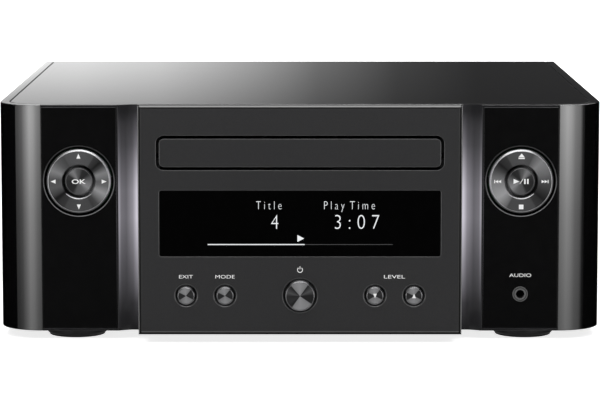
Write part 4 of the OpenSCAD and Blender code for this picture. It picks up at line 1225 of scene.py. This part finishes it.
class RECEIVER_OT_rear(bpy.types.Operator):
    """Terminals, sockets and mains inlet at the back"""

    bl_idname = "receiver.rear"
    bl_label = "Rear"

    def execute(self, context):
        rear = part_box("rear_panel")[1].y
        terminal_base = rear + 0.0022
        socket_base = rear + 0.0016
        posts = [(lambda place, normal: place.y > terminal_base, "nickel")]
        dressed("speaker_terminals", "moulding", zones=posts)
        for number in range(1, 5):
            dressed(f"terminal_cap_{number}", "red_plastic" if number % 2 else "moulding")
        sleeves = [(lambda place, normal: place.y > socket_base, "nickel")]
        dressed("rear_sockets", "moulding", zones=sleeves)
        dressed("mains_inlet", "moulding")
        self.socket_inserts()
        self.labels(rear)
        return {"FINISHED"}

    def labels(self, rear):
        """Small print beside sockets, terminals and inlet."""
        tall = 0.0021
        stretch = 1.15
        gap = 0.0032
        low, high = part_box("speaker_terminals")
        lines = [("SPEAKERS", tall, stretch, 0.0, (low.x + high.x) / 2, high.z + gap)]
        for number in range(1, 5):
            cap = middle(f"terminal_cap_{number}")
            lines.append(("+" if number % 2 else "-", tall * 1.4, 1.2, 0.02, cap.x, low.z - gap))
        heights = [mount["pos_m"][2] for mount in PHONO_MOUNTS]
        columns = sorted({round(mount["pos_m"][0], 4) for mount in PHONO_MOUNTS})
        beside = 0.0128
        for text, x in zip(("IN 1", "IN 2", "OUT"), columns):
            lines.append((text, tall, stretch, 0.0, x, max(heights) + beside))
        for text, z in (("L", max(heights)), ("R", min(heights))):
            lines.append((text, tall, stretch, 0.0, columns[-1] + beside, z))
        low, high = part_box("mains_inlet")
        lines.append(("MAINS IN", tall, stretch, 0.0, (low.x + high.x) / 2, high.z + gap))
        words("rear_labels", lines, rear, "chassis", turn=math.pi)

    def socket_inserts(self):
        """Coloured rings in the mouths of the phono sockets."""
        first = PHONO_MOUNTS[0]
        bore = first["dims"]["r_mm"] / 1000
        outside = bore * 1.85
        mouth = first["pos_m"][1] + first["dims"]["length_mm"] / 2000
        thick = 0.0002
        profile = [
            (bore, mouth - thick),
            (outside, mouth - thick),
            (outside, mouth + thick / 2),
            (bore, mouth + thick / 2),
            (bore, mouth - thick),
        ]
        same_row = 1e-4
        rows = sorted({round(mount["pos_m"][2], 5) for mount in PHONO_MOUNTS}, reverse=True)
        for row, material in zip(rows, ("white_plastic", "red_plastic")):
            places = [
                (mount["pos_m"][0], 0.0, mount["pos_m"][2])
                for mount in PHONO_MOUNTS
                if abs(mount["pos_m"][2] - row) < same_row
            ]
            name = "socket_inserts_" + material.split("_")[0]
            new_piece(name, stamped(name, lathe(profile), places, material), "chassis")


class RECEIVER_OT_stage(bpy.types.Operator):
    """Floor, world, softboxes, reflector cards and camera"""

    bl_idname = "receiver.stage"
    bl_label = "Studio"

    def execute(self, context):
        context.scene.view_settings.view_transform = "Standard"
        own = context.scene.receiver_studio
        self.floor()
        self.world(context, own)
        self.lamps(own)
        self.cards(own)
        self.camera(context, own)
        return {"FINISHED"}

    def stage_material(self, name):
        """A new material without a shader, with its tree."""
        material = bpy.data.materials.new(name)
        material.use_nodes = True
        tree = material.node_tree
        tree.nodes.remove(tree.nodes["Principled BSDF"])
        return material, tree

    def floor(self):
        """White floor that keeps the shadow under the feet, and gets brighter away from them."""
        half = 8.0
        near, far = 0.25, 0.9
        lump = 0.4
        corners = [(-half, -half, 0), (half, -half, 0), (half, half, 0), (-half, half, 0)]
        mesh = bpy.data.meshes.new("floor")
        mesh.from_pydata(corners, [], [(0, 1, 2, 3)])
        material, tree = self.stage_material("floor_white")
        place = object_place(tree)
        shade = mottled(tree, noise(tree, place, lump), grey(0.80), grey(0.82))
        lit_floor = add_node(tree, "ShaderNodeBsdfDiffuse", {"Color": shade}).outputs["BSDF"]
        clear = mapped(tree, distance(tree, place), near, far, 0.80, 1.0)
        seen = add_node(tree, "ShaderNodeLightPath").outputs["Is Camera Ray"]
        lift = calculated(tree, "MULTIPLY", seen, clear)
        lifted = add_node(tree, "ShaderNodeEmission", {"Strength": lift}).outputs["Emission"]
        both = add_node(tree, "ShaderNodeAddShader", {0: lit_floor, 1: lifted}).outputs["Shader"]
        tree.links.new(both, tree.nodes["Material Output"].inputs["Surface"])
        mesh.materials.append(material)
        floor = placed("floor", mesh)
        floor.visible_glossy = False

    def world(self, context, own):
        """White backdrop, mirrored as a bright field at the back left and as a pale floor below.

        The rest is dim even light.
        """
        world = bpy.data.worlds.new("studio")
        context.scene.world = world
        world.use_nodes = True
        world.cycles.sampling_method = "NONE"
        tree = world.node_tree
        backdrop = tree.nodes["Background"]
        heading = add_node(tree, "ShaderNodeTexCoord").outputs["Generated"]
        parts = split(tree, heading)
        fall = [(0.0, 1.0), (0.2, 0.84), (0.4, 0.52), (0.6, 0.20), (0.8, 0.06), (1.0, 0.02)]
        across = grey_ramp(tree, mapped(tree, parts["X"], -0.075, 0.06), fall)
        rise = [(0.0, 0.0), (0.08, 0.7), (0.16, 1.0), (0.24, 1.0), (0.30, 0.36), (0.36, 0.12), (1.0, 0.05)]
        upward = grey_ramp(tree, mapped(tree, parts["Z"], 0.0, 0.30), rise)
        behind = mapped(tree, parts["Y"], 0.3, 0.7)
        field = calculated(tree, "MULTIPLY", calculated(tree, "MULTIPLY", across, upward), behind)
        below = mapped(tree, parts["Z"], -0.18, -0.6, high=0.35)
        field = calculated(tree, "ADD", field, below)
        path = add_node(tree, "ShaderNodeLightPath").outputs
        bright = 1.4
        glossy = calculated(tree, "MULTIPLY", field, path["Is Glossy Ray"])
        glossy = calculated(tree, "MULTIPLY", glossy, bright)
        seen = calculated(tree, "MAXIMUM", path["Is Camera Ray"], path["Is Transmission Ray"])
        ambient = calculated(tree, "MULTIPLY", path["Is Diffuse Ray"], own.ambient)
        total = calculated(tree, "MAXIMUM", calculated(tree, "MAXIMUM", glossy, seen), ambient)
        backdrop.inputs["Color"].default_value = grey(1.0)
        tree.links.new(total, backdrop.inputs["Strength"])

    def softbox(self, name, place, target, width, height, power):
        """A rectangular lamp that looks at a target and isn't seen itself."""
        lamp = bpy.data.lights.new(name, "AREA")
        lamp.shape = "RECTANGLE"
        lamp.size = width
        lamp.size_y = height
        lamp.energy = power
        holder = placed(name, lamp)
        holder.location = place
        holder.rotation_euler = (Vector(target) - Vector(place)).to_track_quat("-Z", "Y").to_euler()
        holder.visible_camera = False

    def lamps(self, own):
        """Softboxes overhead, above the camera and behind the receiver."""
        self.softbox("overhead_softbox", (0.0, -0.25, 1.3), (0.0, -0.1, 0.0), 1.4, 0.7, own.overhead)
        self.softbox("front_softbox", (0.0, -2.0, 1.6), (0.0, -0.14, 0.05), 1.8, 0.9, own.front)
        self.softbox("rear_softbox", (0.0, 2.2, 1.5), (0.0, 0.13, 0.05), 2.4, 0.9, own.rear)

    def card(self, name, side, first, last, stops, strength):
        """A curved reflector beside the receiver, between two angles from the front, seen only in gloss."""
        low, high = -0.35, 0.15
        reach = 1.3
        steps = 24
        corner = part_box("left_window")[0]
        verts, places = [], []
        for i in range(steps + 1):
            turn = math.radians(first + (last - first) * i / steps)
            x = side * (abs(corner.x) + reach * math.sin(turn))
            y = corner.y - reach * math.cos(turn)
            verts += [(x, y, low), (x, y, high)]
            places += [(i / steps, 0.0), (i / steps, 1.0)]
        faces = [(2 * i, 2 * i + 2, 2 * i + 3, 2 * i + 1) for i in range(steps)]
        mesh = bpy.data.meshes.new(name)
        mesh.from_pydata(verts, [], faces)
        layer = mesh.uv_layers.new(name=CARD_MAP)
        for loop in mesh.loops:
            layer.data[loop.index].uv = places[loop.vertex_index]
        material, tree = self.stage_material(name)
        parts = split(tree, map_place(tree, CARD_MAP))
        fade = [(0.0, 0.2), (0.31, 0.39), (0.49, 0.58), (0.67, 1.0), (1.0, 1.0)]
        light = calculated(
            tree, "MULTIPLY", grey_ramp(tree, parts["X"], stops), grey_ramp(tree, parts["Y"], fade)
        )
        light = calculated(tree, "MULTIPLY", light, strength)
        shine = add_node(tree, "ShaderNodeEmission", {"Strength": light}).outputs["Emission"]
        tree.links.new(shine, tree.nodes["Material Output"].inputs["Surface"])
        mesh.materials.append(material)
        card = placed(name, mesh)
        for flag in ("visible_camera", "visible_diffuse", "visible_shadow", "visible_transmission"):
            setattr(card, flag, False)

    def cards(self, own):
        """Two reflectors that the round corners of the side panels mirror as upright bands."""
        left = [
            (0.0, 0.36), (0.15, 0.57), (0.29, 0.90), (0.42, 1.0), (0.58, 0.60), (0.73, 0.28), (0.92, 0.14),
        ]
        right = [
            (0.0, 0.62), (0.125, 0.80), (0.27, 1.0), (0.42, 0.86), (0.60, 0.50), (0.80, 0.36), (0.93, 0.04),
        ]
        self.card("left_card", -1, 6.0, 78.0, left, own.cards)
        self.card("right_card", 1, 8.0, 78.0, right, own.cards)

    def camera(self, context, own):
        """Long lens in front of the receiver, a little above it."""
        data = bpy.data.cameras.new("camera")
        data.sensor_width = 36.0
        data.lens = own.lens
        data.clip_end = 50.0
        holder = placed("camera", data)
        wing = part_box("left_window")[0].y
        holder.location = (0.0, wing - own.distance, own.height)
        holder.rotation_euler = (math.pi / 2 - own.tilt, 0.0, 0.0)
        context.scene.camera = holder


PIECE_OPERATORS = (
    RECEIVER_OT_case,
    RECEIVER_OT_front,
    RECEIVER_OT_wings,
    RECEIVER_OT_buttons,
    RECEIVER_OT_pads,
    RECEIVER_OT_print,
    RECEIVER_OT_display,
    RECEIVER_OT_mechanism,
    RECEIVER_OT_electronics,
    RECEIVER_OT_rear,
    RECEIVER_OT_stage,
)


class RECEIVER_PT_panel(bpy.types.Panel):
    """Lists what builds the receiver and its sizes and colours"""

    bl_idname = "RECEIVER_PT_panel"
    bl_label = "Disc receiver"
    bl_space_type = "VIEW_3D"
    bl_region_type = "UI"
    bl_category = "Receiver"

    def draw(self, context):
        for operator in PIECE_OPERATORS:
            self.layout.operator(operator.bl_idname)
        for group in ("receiver_colours", "receiver_sizes", "receiver_studio"):
            settings = getattr(context.scene, group)
            for name in settings.__annotations__:
                self.layout.prop(settings, name)


GROUPS = {
    "receiver_colours": ReceiverColours,
    "receiver_sizes": ReceiverSizes,
    "receiver_studio": ReceiverStudio,
}


def register():
    """Registers groups, operators and panel."""
    for name, group in GROUPS.items():
        bpy.utils.register_class(group)
        setattr(bpy.types.Scene, name, PointerProperty(type=group))
    for operator in PIECE_OPERATORS:
        bpy.utils.register_class(operator)
    bpy.utils.register_class(RECEIVER_PT_panel)


def unregister():
    """Takes panel, operators and groups out again."""
    bpy.utils.unregister_class(RECEIVER_PT_panel)
    for operator in reversed(PIECE_OPERATORS):
        bpy.utils.unregister_class(operator)
    for name, group in GROUPS.items():
        delattr(bpy.types.Scene, name)
        bpy.utils.unregister_class(group)


def main():
    """Builds everything."""
    register()
    for operator in PIECE_OPERATORS:
        group, name = operator.bl_idname.split(".")
        getattr(getattr(bpy.ops, group), name)()


if __name__ == "__main__":
    main()
